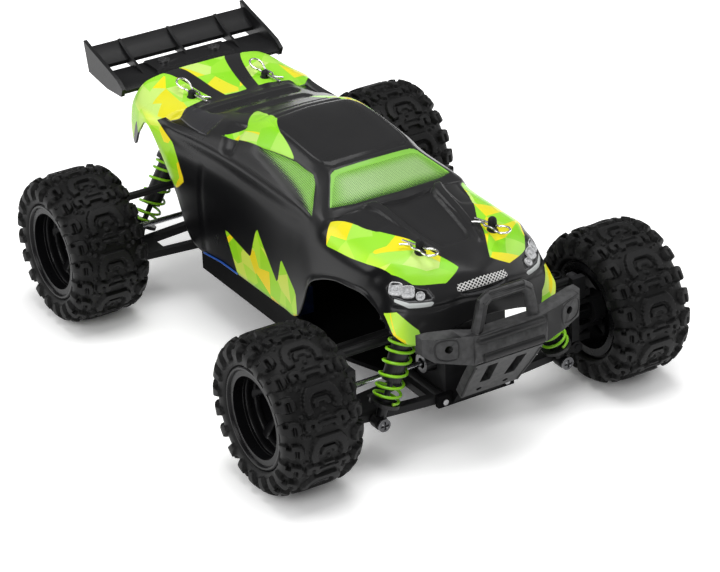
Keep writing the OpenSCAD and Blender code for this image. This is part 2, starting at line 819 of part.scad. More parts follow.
module chassis_tub() {
    cradle = 6;
    color("#1c1d1f")
        difference() {
            union() {
                tub_floor();
                pin_blocks(true);
                pin_blocks(false);
                nose_ramp();
                both_sides() {
                    block([tub_half_w - wall_t, tub_half_w], [front_y + pod_front, rear_y + pod_rear],
                          [floor_z, floor_z + wall_h]);
                    bar_z(2.2, floor_z, rack_z - 0.3, rack_post_x, front_y + rack_y);
                }
                block([motor_x - 9, motor_x + 9], [motor_y + cradle, motor_y + motor_l - cradle],
                      [floor_z + 1, motor_z - motor_d / 4]);
            }
            bar_y(motor_d / 2 + seat_gap, motor_y, motor_y + motor_l, motor_x, motor_z);
            bar_y(shaft_d / 2 + 2.5, motor_y, motor_y + motor_l, 0, axle_z);
            hinge_pins(seat_gap);
        }
}

// Steel hinge pins of the four lower arms, or with a gap their bores
module hinge_pins(gap = 0) {
    reach = block_y + block_t + 0.5 + gap;
    for (front = [true, false])
        at_axle(front)
            both_sides()
                bar_y(pin_r + gap, -reach, reach, arm_pivot_x, arm_z);
}

// Shock tower: a plate on the gearbox with studs for both shocks and the two body posts
module tower(front) {
    tx = top_x(front);
    tz = top_z(front);
    px = front ? front_post_x : rear_post_x;
    py = front ? -3.3 : -4.1;
    pz = front ? front_post_z : rear_post_z;
    half = [[12.5, case_top], [12.5, case_top + 11], [tx - 10, tz - 8.5], [tx + 4.5, tz - 4.5],
            [tx + 4.5, tz + 3.5], [tx - 2, tz + 4.5], [tx - 12, tz + 2.5], [6, tz - 4]];
    outline = concat(half, [for (i = [len(half) - 1:-1:0]) [-half[i][0], half[i][1]]]);
    difference() {
        union() {
            translate([0, tower_y + tower_t, 0])
                rotate([90, 0, 0])
                    linear_extrude(height = tower_t)
                        polygon(outline);
            both_sides() {
                bar_y(pin_r, -shock_y - eye_w / 2 - 0.4, tower_y + 1, tx, tz);
                bar_y(pin_r + 1.5, -shock_y + eye_w / 2 + 0.4, tower_y + 1, tx, tz);
                bar_y(pin_r + 1.3, -shock_y - eye_w / 2 - 2, -shock_y - eye_w / 2 - 0.4, tx, tz);
                bar_z(post_d / 2, tz - 6, pz - 2, px, py);
                translate([px, py, pz - post_d / 2]) sphere(d = post_d);
            }
        }
        both_sides()
            translate([px, py, clip_z(front)])
                rotate([-clip_tilt(front), 0, 0])
                    bar_y(clip_d / 2 + clip_gap, -post_d, post_d);
    }
}

// A rear clip stands up a little at its ring, clear of the rising deck
clip_gap = 0.15;
function clip_z(front) = front ? front_post_z - 4 : rear_post_z - 2.4;
function clip_tilt(front) = front ? 0 : 9;

module front_tower() {
    color("#1d1e20") at_axle(true) tower(true);
}

// The rear tower also carries two stays that reach back to the wing
stay_y = 48.6;
module rear_tower() {
    stay_w = 5;
    color("#1d1e20")
        difference() {
            union() {
                at_axle(false) tower(false);
                translate([0, rear_y, 0])
                    both_sides() {
                        hull() {
                            block([wing_screw_x - stay_w / 2, wing_screw_x + stay_w / 2],
                                  [-tower_y - tower_t, -tower_y], [rear_top_z - 12, rear_top_z - 5]);
                            block([wing_screw_x - stay_w / 2, wing_screw_x + stay_w / 2],
                                  [stay_y - 8, stay_y - 4], [wing_z - 9, wing_z - 4]);
                        }
                        hull() {
                            block([wing_screw_x - stay_w / 2, wing_screw_x + stay_w / 2],
                                  [stay_y - 8, stay_y - 4], [wing_z - 9, wing_z - 4]);
                            block([wing_screw_x - stay_w / 2, wing_screw_x + stay_w / 2],
                                  [stay_y - 3, stay_y + 3], [wing_z - 3, wing_z - 1]);
                        }
                        bar_z(4, wing_z - 4, wing_z, wing_screw_x, stay_y);
                    }
            }
            translate([0, rear_y, 0])
                both_sides() bar_z(pin_r + seat_gap, wing_z - 10, wing_z + 1, wing_screw_x, stay_y);
        }
}

// Rear wing: main plane with a raised pad, curved rear blade, strakes and end plates
wing_front = 33;
pad_rise = 1.8;
strake_x = 30;
module wing_slice(points, x0, x1) {
    translate([x0, rear_y, 0])
        rotate([90, 0, 90])
            linear_extrude(height = x1 - x0)
                polygon(points);
}

module rear_wing() {
    tip = rear_overhang;
    top = wing_z + wing_t;
    tip_z = wing_z + 15.7;
    plate_half = wing_half_w - 2;
    blade = [[tip - 14.5, top + 0.6], [tip - 9, top + 2.6], [tip - 5, top + 5.6], [tip - 2.2, top + 9.6],
             [tip - 3.6, top + 10.6], [tip - 6.4, top + 7.2], [tip - 10, top + 4.6],
             [tip - 14.5, top + 2.6]];
    color("#1a1b1c")
        difference() {
            union() {
                wing_slice([[wing_front, wing_z - 1.5], [wing_front + 4, wing_z], [tip - 18, wing_z],
                            [tip - 18, top], [wing_front + 4, top], [wing_front, top - 2]],
                           -plate_half, plate_half);
                wing_slice([[wing_front + 6, top - 0.5], [wing_front + 8, top + pad_rise],
                            [tip - 20, top + pad_rise], [tip - 18, top - 0.5]], -24, 24);
                wing_slice(blade, -plate_half, plate_half);
                for (x = [-strake_x, 0, strake_x])
                    wing_slice([[wing_front + 9, top - 0.5], [tip - 4, top - 0.5], [tip - 2.4, top + 9.8],
                                [tip - 3.4, top + 11], [tip - 14, top + 5.5]], x - 0.8, x + 0.8);
                both_sides()
                    wing_slice([[wing_front - 1, wing_z + 1.5], [wing_front + 1, wing_z - 3],
                                [wing_front + 18, wing_z - 4],
                                [tip - 4, wing_z - 1.5], [tip, tip_z], [tip - 8, tip_z - 2.4],
                                [wing_front + 16, wing_z + 8.5], [wing_front + 4, wing_z + 5]],
                               plate_half - 0.2, wing_half_w);
            }
            both_sides() bar_z(pin_r + 0.1, wing_z - 1, top + pad_rise + 1, wing_screw_x, rear_y + stay_y);
        }
}

// Cross-head screws that hold the wing on its stays
module wing_screws() {
    head = wing_z + wing_t + pad_rise;
    slot_w = 0.8;
    translate([0, rear_y, 0])
        both_sides()
            difference() {
                union() {
                    bar_z(pin_r, wing_z - 6, head + 0.5, wing_screw_x, stay_y);
                    bar_z(3.2, head, head + 1.4, wing_screw_x, stay_y);
                }
                for (turn = [0, 90])
                    translate([wing_screw_x, stay_y, head + 0.7])
                        rotate([0, 0, turn])
                            block([-slot_w / 2, slot_w / 2], [-2, 2], [0, 2]);
            }
}

module fasteners() {
    color("#8e9194") {
        hinge_pins();
        wing_screws();
    }
}

// Front bumper: faceted beam with swept ends, hoop, and the skid plate down to the chassis nose
beam_z = 66;
beam_low = beam_z - 5;
beam_top = beam_z + 10;
module front_bumper() {
    f = front_overhang;
    hole_z = beam_z + 7.3;
    color("#2b2c2e")
        translate([0, front_y, 0])
            difference() {
                union() {
                    hull() {
                        block([-21, 21], [-f + 3, -f + 11], [beam_low, beam_top]);
                        block([-18, 18], [-f, -f + 1], [beam_z - 2.5, beam_z - 0.5]);
                        block([-20, 20], [-f + 1.2, -f + 2], [beam_z + 3, beam_z + 5]);
                    }
                    both_sides()
                        hull() {
                            block([18, 21], [-f + 3, -f + 11], [beam_low, beam_top]);
                            block([28, 30], [-f + 2.6, -f + 12], [beam_z - 1.5, beam_z + 12.5]);
                            block([bumper_half_w - 5, bumper_half_w - 4], [-f + 5.5, -f + 14.5],
                                  [beam_z + 1.5, beam_z + 13.6]);
                            block([bumper_half_w - 0.5, bumper_half_w], [-f + 10.5, -f + 16],
                                  [beam_z + 4, beam_z + 13]);
                        }
                    translate([0, -f + 7.5, beam_z + 8]) hoop();
                    skid_plate();
                }
                both_sides() {
                    bar_y(bumper_hole_d / 2, -f - 2, -f + 20, bumper_hole_x, hole_z);
                    skid_slots();
                }
            }
}

// Hoop: a flat top tube, a short bend at each end, and two leaning legs
module hoop() {
    top_half = 9.6;
    bend_half = 12.8;
    base_half = 17;
    rise = 21.5;
    bend_drop = 2.4;
    r = hoop_d / 2;
    both_sides() {
        hull() {
            translate([top_half, 0, rise - r]) sphere(r = r, $fn = 24);
            translate([bend_half, 0, rise - r - bend_drop]) sphere(r = r, $fn = 24);
        }
        hull() {
            translate([bend_half, 0, rise - r - bend_drop]) sphere(r = r, $fn = 24);
            translate([base_half, 0, -2]) sphere(r = r, $fn = 24);
        }
    }
    bar_x(r, -top_half, top_half, 0, rise - r);
}

// The skid plate hangs from the beam and slopes back to the nose, with two blind slots and two screw holes
skid_low = floor_z + nose_rise + 1.2;
skid_lean = 35;
skid_t = 5;
skid_l = (beam_low - skid_low) / cos(skid_lean);
module skid_frame() {
    translate([0, nose_y - 0.6, skid_low])
        rotate([90 + skid_lean, 0, 0])
            children();
}

module skid_plate() {
    skid_frame()
        linear_extrude(height = skid_t)
            polygon([[-16.5, 0], [16.5, 0], [18.5, skid_l * 0.6], [19, skid_l + 2],
                     [-19, skid_l + 2], [-18.5, skid_l * 0.6]]);
}

module skid_slots() {
    slot_floor = 1.2;
    skid_frame() {
        translate([0, 0, slot_floor])
            linear_extrude(height = skid_t)
                polygon([[4, skid_l * 0.38], [10, skid_l * 0.38],
                         [11.2, skid_l * 0.93], [5.2, skid_l * 0.93]]);
        translate([7.6, skid_l * 0.14, -1]) cylinder(d = 3, h = skid_t + 2);
    }
}

// Body shell: rows of points from the chin, over the bonnet and the roof, to the tail.
// Each point is across, along from the named axle, and height over the ground.
half_now = shell_half_w / 48;
roof_lift = roof_z - 124.5;
FRONT_ROWS = [
    [[0, -25.5, 71], [12, -26, 70.5], [22, -26, 69], [32, -25.5, 66],
     [41.5, -24.5, 67.5], [47, -18, 72.5], [47.5, -10, 77.5]],
    [[0, -28, 84], [12, -27.3, 85], [22, -25.5, 84], [31, -22.5, 83.5],
     [39, -17.5, 83.5], [44.5, -10.5, 83], [47, -3, 81]],
    [[0, -26, 91.5], [13, -24.5, 90.5], [22, -21.5, 91], [30, -17, 91],
     [38, -10.5, 92], [44, -4, 90], [47.5, 3, 83.5]],
    [[0, -19, 97], [9, -18.5, 97], [20, -15, 97], [29, -11, 97],
     [36.5, -5.5, 96.5], [43.5, 2, 93], [48, 10, 83.8]],
    [[0, -3, 101], [10, -3, 101.5], [20, -3, 102.3], [29, -1, 101.5],
     [37.5, 3, 99.5], [44.5, 9, 94], [48.3, 17, 83]],
    [[0, 16, 103.5], [11, 16, 104.5], [20, 17, 104.8], [30, 18, 103],
     [39, 20, 99.5], [45.5, 25, 92], [48.3, 30, 81]],
    [[0, 38, 107], [12, 39, 108], [20, 41, 107.5], [31, 44, 104.8],
     [40, 46, 99.5], [46, 46, 90], [48.3, 45, 75.5]],
    [[0, 45, 109], [13, 46, 109], [25, 49, 107], [37, 53, 104.3],
     [42, 56, 100], [46.5, 58, 86], [48.3, 57.5, 67]],
    [[0, 68, 117.5], [12, 69, 117], [20, 70, 116.3], [27.5, 71.5, 114.3],
     [40.5, 74, 101.5], [46.5, 74, 80], [47.5, 72, 44]],
    [[0, 90, 121], [12, 90, 120.7], [22, 90, 120], [28.5, 90, 117.5],
     [41, 90, 101.5], [46.5, 90, 78], [47, 88, 41.5]]];
REAR_ROWS = [
    [[0, -88, 124.5], [12, -88, 124], [22, -88, 123], [29, -88, 119],
     [41.5, -89, 102], [47, -90, 78], [46.5, -92, 40.5]],
    [[0, -63, 118], [12, -63, 117.8], [23, -63, 116.5], [31, -63, 113],
     [42, -64, 101.5], [47.5, -65, 78], [46.3, -66, 40]],
    [[0, -36, 110], [13, -36, 110], [25, -36, 109], [35, -36, 106.5],
     [43.5, -36, 100], [48.5, -35, 76], [46.5, -32, 39.5]],
    [[0, -12, 104.5], [14, -12, 104.5], [27, -12, 104], [37, -12, 103],
     [45.5, -13, 99], [49.5, -15, 84], [48.5, -19, 66]],
    [[0, 4, 104.3], [14, 4, 104.3], [28, 4, 104], [39, 4, 103],
     [46.3, 4, 100], [49, 4, 97.5], [50, 3.5, 94.5]],
    [[0, 19, 106.3], [14, 19, 106.3], [28, 19, 105.8], [38.5, 19, 104],
     [46, 18.5, 99], [48.5, 18, 93], [49, 17, 87]],
    [[0, 29, 108], [14, 29, 108], [28, 28.5, 107.2], [38, 28, 105],
     [45, 27.5, 98], [47.5, 27, 87], [47.5, 26, 75.5]],
    [[0, 34, 108.5], [14, 34, 108.4], [28, 33.5, 107.5], [37, 33, 105],
     [44, 32, 97.5], [46.5, 31, 87], [46.8, 30, 78]]];
// Heights over the roof line's start rise with the roof
roof_start = 109;
function lift(z) = z + max(0, (z - roof_start) / (124.5 - roof_start)) * roof_lift;
function row_at(row, y) = [for (p = row) [p[0] * half_now, p[1] + y, lift(p[2])]];
SHELL_ROWS = concat([for (r = FRONT_ROWS) row_at(r, front_y)], [for (r = REAR_ROWS) row_at(r, rear_y)]);

// A row is mirrored to the full width; points between rows and along them follow a smooth curve
function full_row(row) = let (n = len(row))
    concat([for (i = [n - 1:-1:1]) [-row[i][0], row[i][1], row[i][2]]], row);
function smooth(a, b, c, d, t) =
    let (m0 = (c - a) / 2, m1 = (d - b) / 2)
    b * (2 * t * t * t - 3 * t * t + 1) + m0 * (t * t * t - 2 * t * t + t)
    + c * (3 * t * t - 2 * t * t * t) + m1 * (t * t * t - t * t);
function clamp(i, n) = max(0, min(n - 1, i));
function along(list, k) = let (n = len(list))
    [for (i = [0:n - 2]) for (s = [0:k - 1])
        smooth(list[clamp(i - 1, n)], list[i], list[i + 1], list[clamp(i + 2, n)], s / k),
     list[n - 1]];
function column(rows, j) = [for (r = rows) r[j]];
function turned(rows) = [for (j = [0:len(rows[0]) - 1]) column(rows, j)];
function unit(v) = v / norm(v);
shell_k = 2;
ACROSS = [for (r = SHELL_ROWS) along(full_row(r), shell_k)];
OUTER = turned([for (line = turned(ACROSS)) along(line, shell_k)]);

// The inner skin lies one thickness inside the outer one, along the surface's own normal
function normal_at(g, i, j) =
    let (n = len(g), m = len(g[0]))
    let (du = g[clamp(i + 1, n)][j] - g[clamp(i - 1, n)][j])
    let (dv = g[i][clamp(j + 1, m)] - g[i][clamp(j - 1, m)])
    unit(cross(dv, du));
INNER = [for (i = [0:len(OUTER) - 1]) [for (j = [0:len(OUTER[0]) - 1])
    OUTER[i][j] - shell_t * normal_at(OUTER, i, j)]];

module shell_skin() {
    n = len(OUTER);
    m = len(OUTER[0]);
    k = n * m;
    points = concat([for (r = OUTER) each r], [for (r = INNER) each r]);
    top = [for (i = [0:n - 2]) for (j = [0:m - 2])
        let (a = i * m + j)
        each [[a, a + m, a + 1], [a + 1, a + m, a + m + 1]]];
    under = [for (f = top) [f[0] + k, f[2] + k, f[1] + k]];
    sides = [for (i = [0:n - 2])
        let (a = i * m, b = a + m - 1)
        each [[a, a + k, a + m], [a + m, a + k, a + m + k], [b, b + m, b + k], [b + k, b + m, b + m + k]]];
    e = (n - 1) * m;
    ends = [for (j = [0:m - 2])
        each [[j, j + 1, j + k], [j + k, j + 1, j + 1 + k], [e + j, e + j + k, e + j + 1],
              [e + j + k, e + j + 1 + k, e + j + 1]]];
    polyhedron(points, concat(top, under, sides, ends));
}

module body_shell() {
    hole_r = post_d / 2 + 0.7;
    color("#232427")
        difference() {
            shell_skin();
            both_sides() {
                bar_z(hole_r, front_post_z - 15, front_post_z + 5, front_post_x, front_y - 3.3);
                bar_z(hole_r, rear_post_z - 15, rear_post_z + 5, rear_post_x, rear_y + 4.1);
            }
        }
}

// Spring clips through the four body posts: a leg in the post, a ring, and a bent outer leg
module body_clip() {
    r = clip_d / 2;
    ring = 3.6;
    bar_y(r, -5.5, 7);
    translate([ring, 7, 0])
        rotate([0, 0, 180])
            rotate_extrude(angle = -250)
                translate([ring, 0]) circle(r = r, $fn = 16);
    translate([3.9, -1.2, 0]) rotate([0, 0, 5]) bar_y(r, -4, 5.2);
}

module body_clips() {
    color("#d8dadd")
        for (front = [true, false])
            at_axle(front)
                both_sides()
                    translate([front ? front_post_x : rear_post_x, front ? -3.3 : -4.1, clip_z(front)])
                        rotate([-clip_tilt(front), 0, 0])
                            mirror([0, 1, 0])
                                body_clip();
}

// Battery pack in the right pod and the receiver box in the left one
pod_in = tub_half_w - wall_t - 0.3;
battery_w = 18;
battery_h = 15;
battery_start = front_y + pod_front + 24;
receiver_w = 16;
receiver_h = 17;
receiver_start = front_y + pod_front + 4;
receiver_l = 30;
module battery() {
    color("#1f4fb4")
        block([-pod_in, battery_w - pod_in], [battery_start, rear_y + pod_rear - 2],
              [case_z, case_z + battery_h]);
}

module receiver_box() {
    color("#26272a")
        block([pod_in - receiver_w, pod_in], [receiver_start, receiver_start + receiver_l],
              [case_z, case_z + receiver_h]);
}

module steering_servo() {
    half_w = 7;
    reach = 19;
    color("#26272a") {
        block([horn_x - half_w, horn_x + half_w], [front_y + horn_y - half_w, front_y + horn_y + reach],
              [case_z, horn_z - 1.2]);
        bar_z(3, horn_z - 2, horn_z - 0.1, horn_x, front_y + horn_y);
    }
}

chassis_tub();
at_axle(true) gearbox();  // front_gearbox
at_axle(false) gearbox();  // rear_gearbox
front_tower();
rear_tower();
front_bumper();
rear_wing();
body_shell();
battery();
receiver_box();
motor();
steering_servo();
body_clips();
fasteners();
motor_pinion();
centre_shaft();
at_axle(true) diff();  // front_diff
at_axle(false) diff();  // rear_diff
translate([0, front_y, 0]) steering_rack();
translate([0, front_y, 0]) servo_horn();
for (c = CORNERS) {
    at_corner(c) lower_arm(is_front(c));
    at_corner(c) upper_link();
    at_corner(c) hub_carrier(is_front(c));
    at_corner(c) shock_body(is_front(c));
    at_corner(c) shock_rod(is_front(c));
    at_corner(c) spring(is_front(c));
    at_wheel(c) tyre();
    at_wheel(c) rim();
    at_corner(c) drive_shaft();
}
for (c = ["fl", "fr"]) {
    at_corner(c) knuckle();
    at_corner(c) tie_rod();
}
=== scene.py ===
import math

import bpy
import numpy as np
from mathutils import Matrix


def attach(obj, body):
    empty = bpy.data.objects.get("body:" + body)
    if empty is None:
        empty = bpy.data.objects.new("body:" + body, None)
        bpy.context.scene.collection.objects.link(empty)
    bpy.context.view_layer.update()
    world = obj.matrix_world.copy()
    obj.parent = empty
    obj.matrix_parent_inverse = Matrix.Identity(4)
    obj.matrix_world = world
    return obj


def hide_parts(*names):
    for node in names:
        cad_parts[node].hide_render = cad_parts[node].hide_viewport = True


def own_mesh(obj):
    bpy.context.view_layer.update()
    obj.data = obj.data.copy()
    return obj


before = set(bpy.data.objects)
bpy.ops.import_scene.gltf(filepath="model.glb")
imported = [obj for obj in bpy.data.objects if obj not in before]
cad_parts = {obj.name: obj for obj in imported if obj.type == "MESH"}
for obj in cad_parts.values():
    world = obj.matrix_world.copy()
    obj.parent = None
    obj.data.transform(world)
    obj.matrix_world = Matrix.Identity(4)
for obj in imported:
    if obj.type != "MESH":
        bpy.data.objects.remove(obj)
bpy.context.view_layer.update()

# Lengths of the truck, in metres, as in the part's source
MM = 0.001
FRONT_Y = -0.120
REAR_Y = 0.096
AXLE_Z = 0.040
WHEEL_X = 0.0955
TYRE_R = 0.040
SHELL_T = 0.0012
SHOCK_OFF = 0.014
CORNERS = ("fl", "fr", "rl", "rr")


# Surfaces

def grid_faces(n, m, round_n=False, round_m=False):
    """Quads between neighbours of an n by m grid, closed round in the directions that say so."""
    i, j = np.meshgrid(np.arange(n if round_n else n - 1), np.arange(m if round_m else m - 1), indexing="ij")
    i2, j2 = (i + 1) % n, (j + 1) % m
    return np.stack([i * m + j, i2 * m + j, i2 * m + j2, i * m + j2], -1).reshape(-1, 4)


def joined(parts):
    """One set of points and faces from several, with each later set's numbers moved up."""
    points, faces, start = [], [], 0
    for p, f in parts:
        p = np.asarray(p, float).reshape(-1, 3)
        points.append(p)
        faces.append(f + start)
        start += len(p)
    return np.concatenate(points), np.concatenate(faces)


def welded(part):
    """A part with coinciding points made one; quads that lose a corner become triangles, thinner ones go."""
    points, faces = part
    points = np.asarray(points, float).reshape(-1, 3)
    _, first, index = np.unique(np.round(points / 1e-7), axis=0, return_index=True, return_inverse=True)
    faces = index.reshape(-1)[faces]
    for k in range(4):
        same = faces[:, k] == faces[:, (k + 1) % 4]
        faces[same] = faces[same][:, [(k + 1) % 4, (k + 2) % 4, (k + 3) % 4, (k + 3) % 4]]
    a, b, c, d = faces.T
    return points[first], faces[(a != b) & (b != c) & (a != c) & (a != d) & (b != d)]


def make_mesh(name, points, faces):
    """A mesh from arrays of points and quads; a quad whose last two corners agree is a triangle."""
    points = np.asarray(points, float).reshape(-1, 3)
    faces = np.asarray(faces, int)
    three = faces[:, 2] == faces[:, 3]
    sizes = np.where(three, 3, 4)
    keep = np.ones(faces.shape, bool)
    keep[three, 3] = False
    mesh = bpy.data.meshes.new(name)
    mesh.vertices.add(len(points))
    mesh.vertices.foreach_set("co", points.ravel())
    mesh.loops.add(int(sizes.sum()))
    mesh.loops.foreach_set("vertex_index", faces[keep])
    mesh.polygons.add(len(faces))
    mesh.polygons.foreach_set("loop_start", np.concatenate([[0], np.cumsum(sizes)[:-1]]))
    mesh.polygons.foreach_set("use_smooth", np.ones(len(faces), bool))
    mesh.update(calc_edges=True)
    mesh.validate()
    return mesh


def add_piece(name, mesh, material, body, slot, nodes=(), crease=None):
    """An object at the origin that rides on a body; edges sharper than crease degrees stay sharp."""
    obj = bpy.data.objects.new(name, mesh)
    bpy.context.scene.collection.objects.link(obj)
    mesh.materials.clear()
    mesh.materials.append(material)
    if crease is not None:
        mesh.set_sharp_from_angle(angle=math.radians(crease))
    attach(obj, body)
    if nodes:
        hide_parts(*nodes)
    return obj


def add_parts(name, parts, *ride, **options):
    """One piece from several parts, with the points that coincide made one."""
    return add_piece(name, make_mesh(name, *welded(joined(parts))), *ride, **options)


def lathe(profile, sides):
    """A profile of (radius, height) pairs turned about Z: x = r cos a, y = r sin a, z = h."""
    profile = np.asarray(profile, float)
    a = np.linspace(0, 2 * np.pi, sides, endpoint=False)
    r, h = profile[:, :1], profile[:, 1:]
    points = np.stack([r * np.cos(a), r * np.sin(a), h + 0 * a], -1)
    return points, grid_faces(len(profile), sides, round_m=True)[:, ::-1]


def frame_of(axis):
    """Three unit vectors, the last along axis."""
    w = np.asarray(axis, float)
    w = w / np.linalg.norm(w)
    u = np.cross([0, 0, 1] if abs(w[2]) < 0.9 else [1, 0, 0], w)
    u = u / np.linalg.norm(u)
    return np.stack([u, np.cross(w, u), w])


def moved(part, origin, axis=(0, 0, 1)):
    """A part turned so that its Z lies along axis, then moved to origin."""
    points, faces = part
    return np.asarray(points).reshape(-1, 3) @ frame_of(axis) + np.asarray(origin, float), faces


def flipped(part):
    """A part mirrored across the truck's middle plane, with its faces turned to point outwards again."""
    points, faces = part
    points = np.asarray(points, float).reshape(-1, 3) * [-1, 1, 1]
    three = faces[:, 2] == faces[:, 3]
    turned = faces[:, ::-1].copy()
    turned[three] = faces[three][:, [1, 0, 2, 2]]
    return points, turned


def tube(path, radius, sides=10):
    """A round tube along a path: rings square to it, carried along untwisted, each end closed by a point."""
    path = np.asarray(path, float)
    t = np.gradient(path, axis=0)
    t /= np.linalg.norm(t, axis=1, keepdims=True)
    side = frame_of(t[0])[0]
    sides_at = []
    for d in t:
        side = side - d * (side @ d)
        side = side / np.linalg.norm(side)
        sides_at.append(side)
    n = np.array(sides_at)[:, None]
    b = np.cross(t[:, None], n)
    a = np.linspace(0, 2 * np.pi, sides, endpoint=False)[None, :, None]
    rings = path[:, None] + radius * (n * np.cos(a) + b * np.sin(a))
    rings = np.concatenate([np.repeat(path[:1, None], sides, 1), rings, np.repeat(path[-1:, None], sides, 1)])
    return rings, grid_faces(len(rings), sides, round_m=True)[:, ::-1]


def catmull(p, at):
    """Catmull-Rom values of the list p at real index at, with the end points repeated."""
    n = len(p)
    i = np.clip(np.floor(at).astype(int), 0, n - 2)
    s = (at - i).reshape(at.shape + (1,) * (p.ndim - 1))
    a, b, c, d = p[np.clip(i - 1, 0, n - 1)], p[i], p[i + 1], p[np.clip(i + 2, 0, n - 1)]
    return (b * (2 * s**3 - 3 * s**2 + 1) + (c - a) / 2 * (s**3 - 2 * s**2 + s)
            + c * (3 * s**2 - 2 * s**3) + (d - b) / 2 * (s**3 - s**2))


def curve_through(points, steps):
    """Catmull-Rom curve through points: a cubic between neighbours, its slopes half the span beside them."""
    p = np.asarray(points, float)
    return catmull(p, np.linspace(0, len(p) - 1, (len(p) - 1) * steps + 1))


def ramp(x, low, high):
    """0 below low, 1 above high, and the smooth cubic step between."""
    t = np.clip((x - low) / (high - low), 0, 1)
    return t * t * (3 - 2 * t)


def bell(x, width):
    """1 at zero, falling off to both sides over width: e to the minus square of x over width."""
    return np.exp(-(x / width) ** 2)


def polygon_distance(x, y, corners):
    """Signed distance to a polygon, negative inside: the least distance to an edge, signed by crossings."""
    c = np.asarray(corners, float)
    best = np.full(x.shape, np.inf)
    inside = np.zeros(x.shape, bool)
    for (x0, y0), (x1, y1) in zip(c, np.roll(c, -1, 0)):
        dx, dy = x1 - x0, y1 - y0
        t = np.clip(((x - x0) * dx + (y - y0) * dy) / (dx * dx + dy * dy + 1e-12), 0, 1)
        best = np.minimum(best, np.hypot(x - x0 - t * dx, y - y0 - t * dy))
        if dy != 0:
            inside ^= ((y0 > y) != (y1 > y)) & (x < (y - y0) / dy * dx + x0)
    return np.where(inside, -best, best)


# Materials

def feed(tree, node, values):
    """Sets a node's inputs: a socket is joined, a number or colour is set."""
    for key, value in values.items():
        socket = node.inputs[key]
        if isinstance(value, bpy.types.NodeSocket):
            tree.links.new(value, socket)
        elif isinstance(value, tuple) and len(value) < len(socket.default_value):
            socket.default_value = (*value, 1.0)
        else:
            socket.default_value = value


def new_node(tree, kind, values=None, **settings):
    """A shader node of a kind, with its settings and inputs."""
    node = tree.nodes.new("ShaderNode" + kind)
    for name, value in settings.items():
        setattr(node, name, value)
    feed(tree, node, values or {})
    return node


def math_node(tree, operation, *values, clamp=False):
    """A Math node on sockets or numbers; returns its output."""
    return new_node(tree, "Math", dict(enumerate(values)), operation=operation, use_clamp=clamp).outputs[0]


def mix_colour(tree, factor, a, b):
    """A colour Mix node; factor, a and b are sockets or plain values."""
    return new_node(tree, "Mix", {0: factor, 6: a, 7: b}, data_type="RGBA").outputs[2]


def map_value(tree, value, low, high, start=0.0, end=1.0):
    """A value from start to end spread between low and high."""
    return new_node(tree, "MapRange", {"Value": value, "From Min": start, "From Max": end,
                                       "To Min": low, "To Max": high}).outputs["Result"]


def attribute(tree, name):
    """The mesh's own values of a name."""
    return new_node(tree, "Attribute", attribute_name=name).outputs["Fac"]


def node_group(name, inputs, outputs):
    """An empty shader node group with named number sockets, and its input and output nodes."""
    group = bpy.data.node_groups.new(name, "ShaderNodeTree")
    for label, value in inputs.items():
        socket = group.interface.new_socket(label, in_out="INPUT", socket_type="NodeSocketFloat")
        socket.default_value = value
    for label in outputs:
        group.interface.new_socket(label, in_out="OUTPUT", socket_type="NodeSocketFloat")
    return group, group.nodes.new("NodeGroupInput"), group.nodes.new("NodeGroupOutput")


def moulded_grain_group():
    """Grain of moulded plastic and rubber: fine noise as height, broad noise as tone."""
    tree, start, end = node_group("moulded_grain", {"Grain": 2200.0, "Patches": 60.0}, ("Height", "Tone"))
    where = new_node(tree, "TexCoord").outputs["Object"]
    for scale, detail, output in (("Grain", 2.0, "Height"), ("Patches", 4.0, "Tone")):
        cloud = new_node(tree, "TexNoise", {"Vector": where, "Scale": start.outputs[scale], "Detail": detail})
        feed(tree, end, {output: cloud.outputs["Fac"]})
    return tree


def edge_wear_and_glint_group():
    """Worn edges, and on the rims painted highlights on their edges: how far the surface bulges at a point,
    broken up by noise, as a mask.
    """
    tree, start, end = node_group("edge_wear_and_glint", {"From": 0.53, "To": 0.62}, ("Mask",))
    where = new_node(tree, "TexCoord").outputs["Object"]
    bulge = new_node(tree, "NewGeometry").outputs["Pointiness"]
    rise = new_node(tree, "MapRange", {"Value": bulge, "From Min": start.outputs["From"],
                                       "From Max": start.outputs["To"]}, interpolation_type="SMOOTHSTEP")
    specks = new_node(tree, "TexNoise", {"Vector": where, "Scale": 300.0, "Detail": 3.0})
    feed(tree, end, {"Mask": math_node(tree, "MULTIPLY", rise.outputs["Result"], specks.outputs["Fac"])})
    return tree


GRAIN = moulded_grain_group()
EDGE_WEAR_AND_GLINT = edge_wear_and_glint_group()


def new_material(name):
    """An empty material: the material, its tree and its Principled shader."""
    material = bpy.data.materials.new(name)
    material.use_nodes = True
    return material, material.node_tree, material.node_tree.nodes["Principled BSDF"]


def add_bump(tree, shader, height, strength, distance):
    """A Bump node from a height to the shader's normal."""
    bump = new_node(tree, "Bump", {"Height": height, "Strength": strength, "Distance": distance})
    feed(tree, shader, {"Normal": bump.outputs["Normal"]})


def plastic(name, dark, light, worn_and_glint, rough, grain=2200.0, bump=0.12, patches=60.0, metallic=0.0,
            specular=0.5):
    """A moulded or coated finish: two tones in broad patches, paler worn edges that on the rims are also
    painted highlights, fine grain.
    """
    material, tree, shader = new_material(name)
    g = new_node(tree, "Group", {"Grain": grain, "Patches": patches}, node_tree=GRAIN).outputs
    w = new_node(tree, "Group", node_tree=EDGE_WEAR_AND_GLINT).outputs
    base = mix_colour(tree, g["Tone"], dark, light)
    feed(tree, shader, {"Base Color": mix_colour(tree, w["Mask"], base, worn_and_glint),
                        "Roughness": map_value(tree, g["Tone"], *rough),
                        "Metallic": metallic, "Specular IOR Level": specular})
    add_bump(tree, shader, g["Height"], bump, 0.0003)
    return material
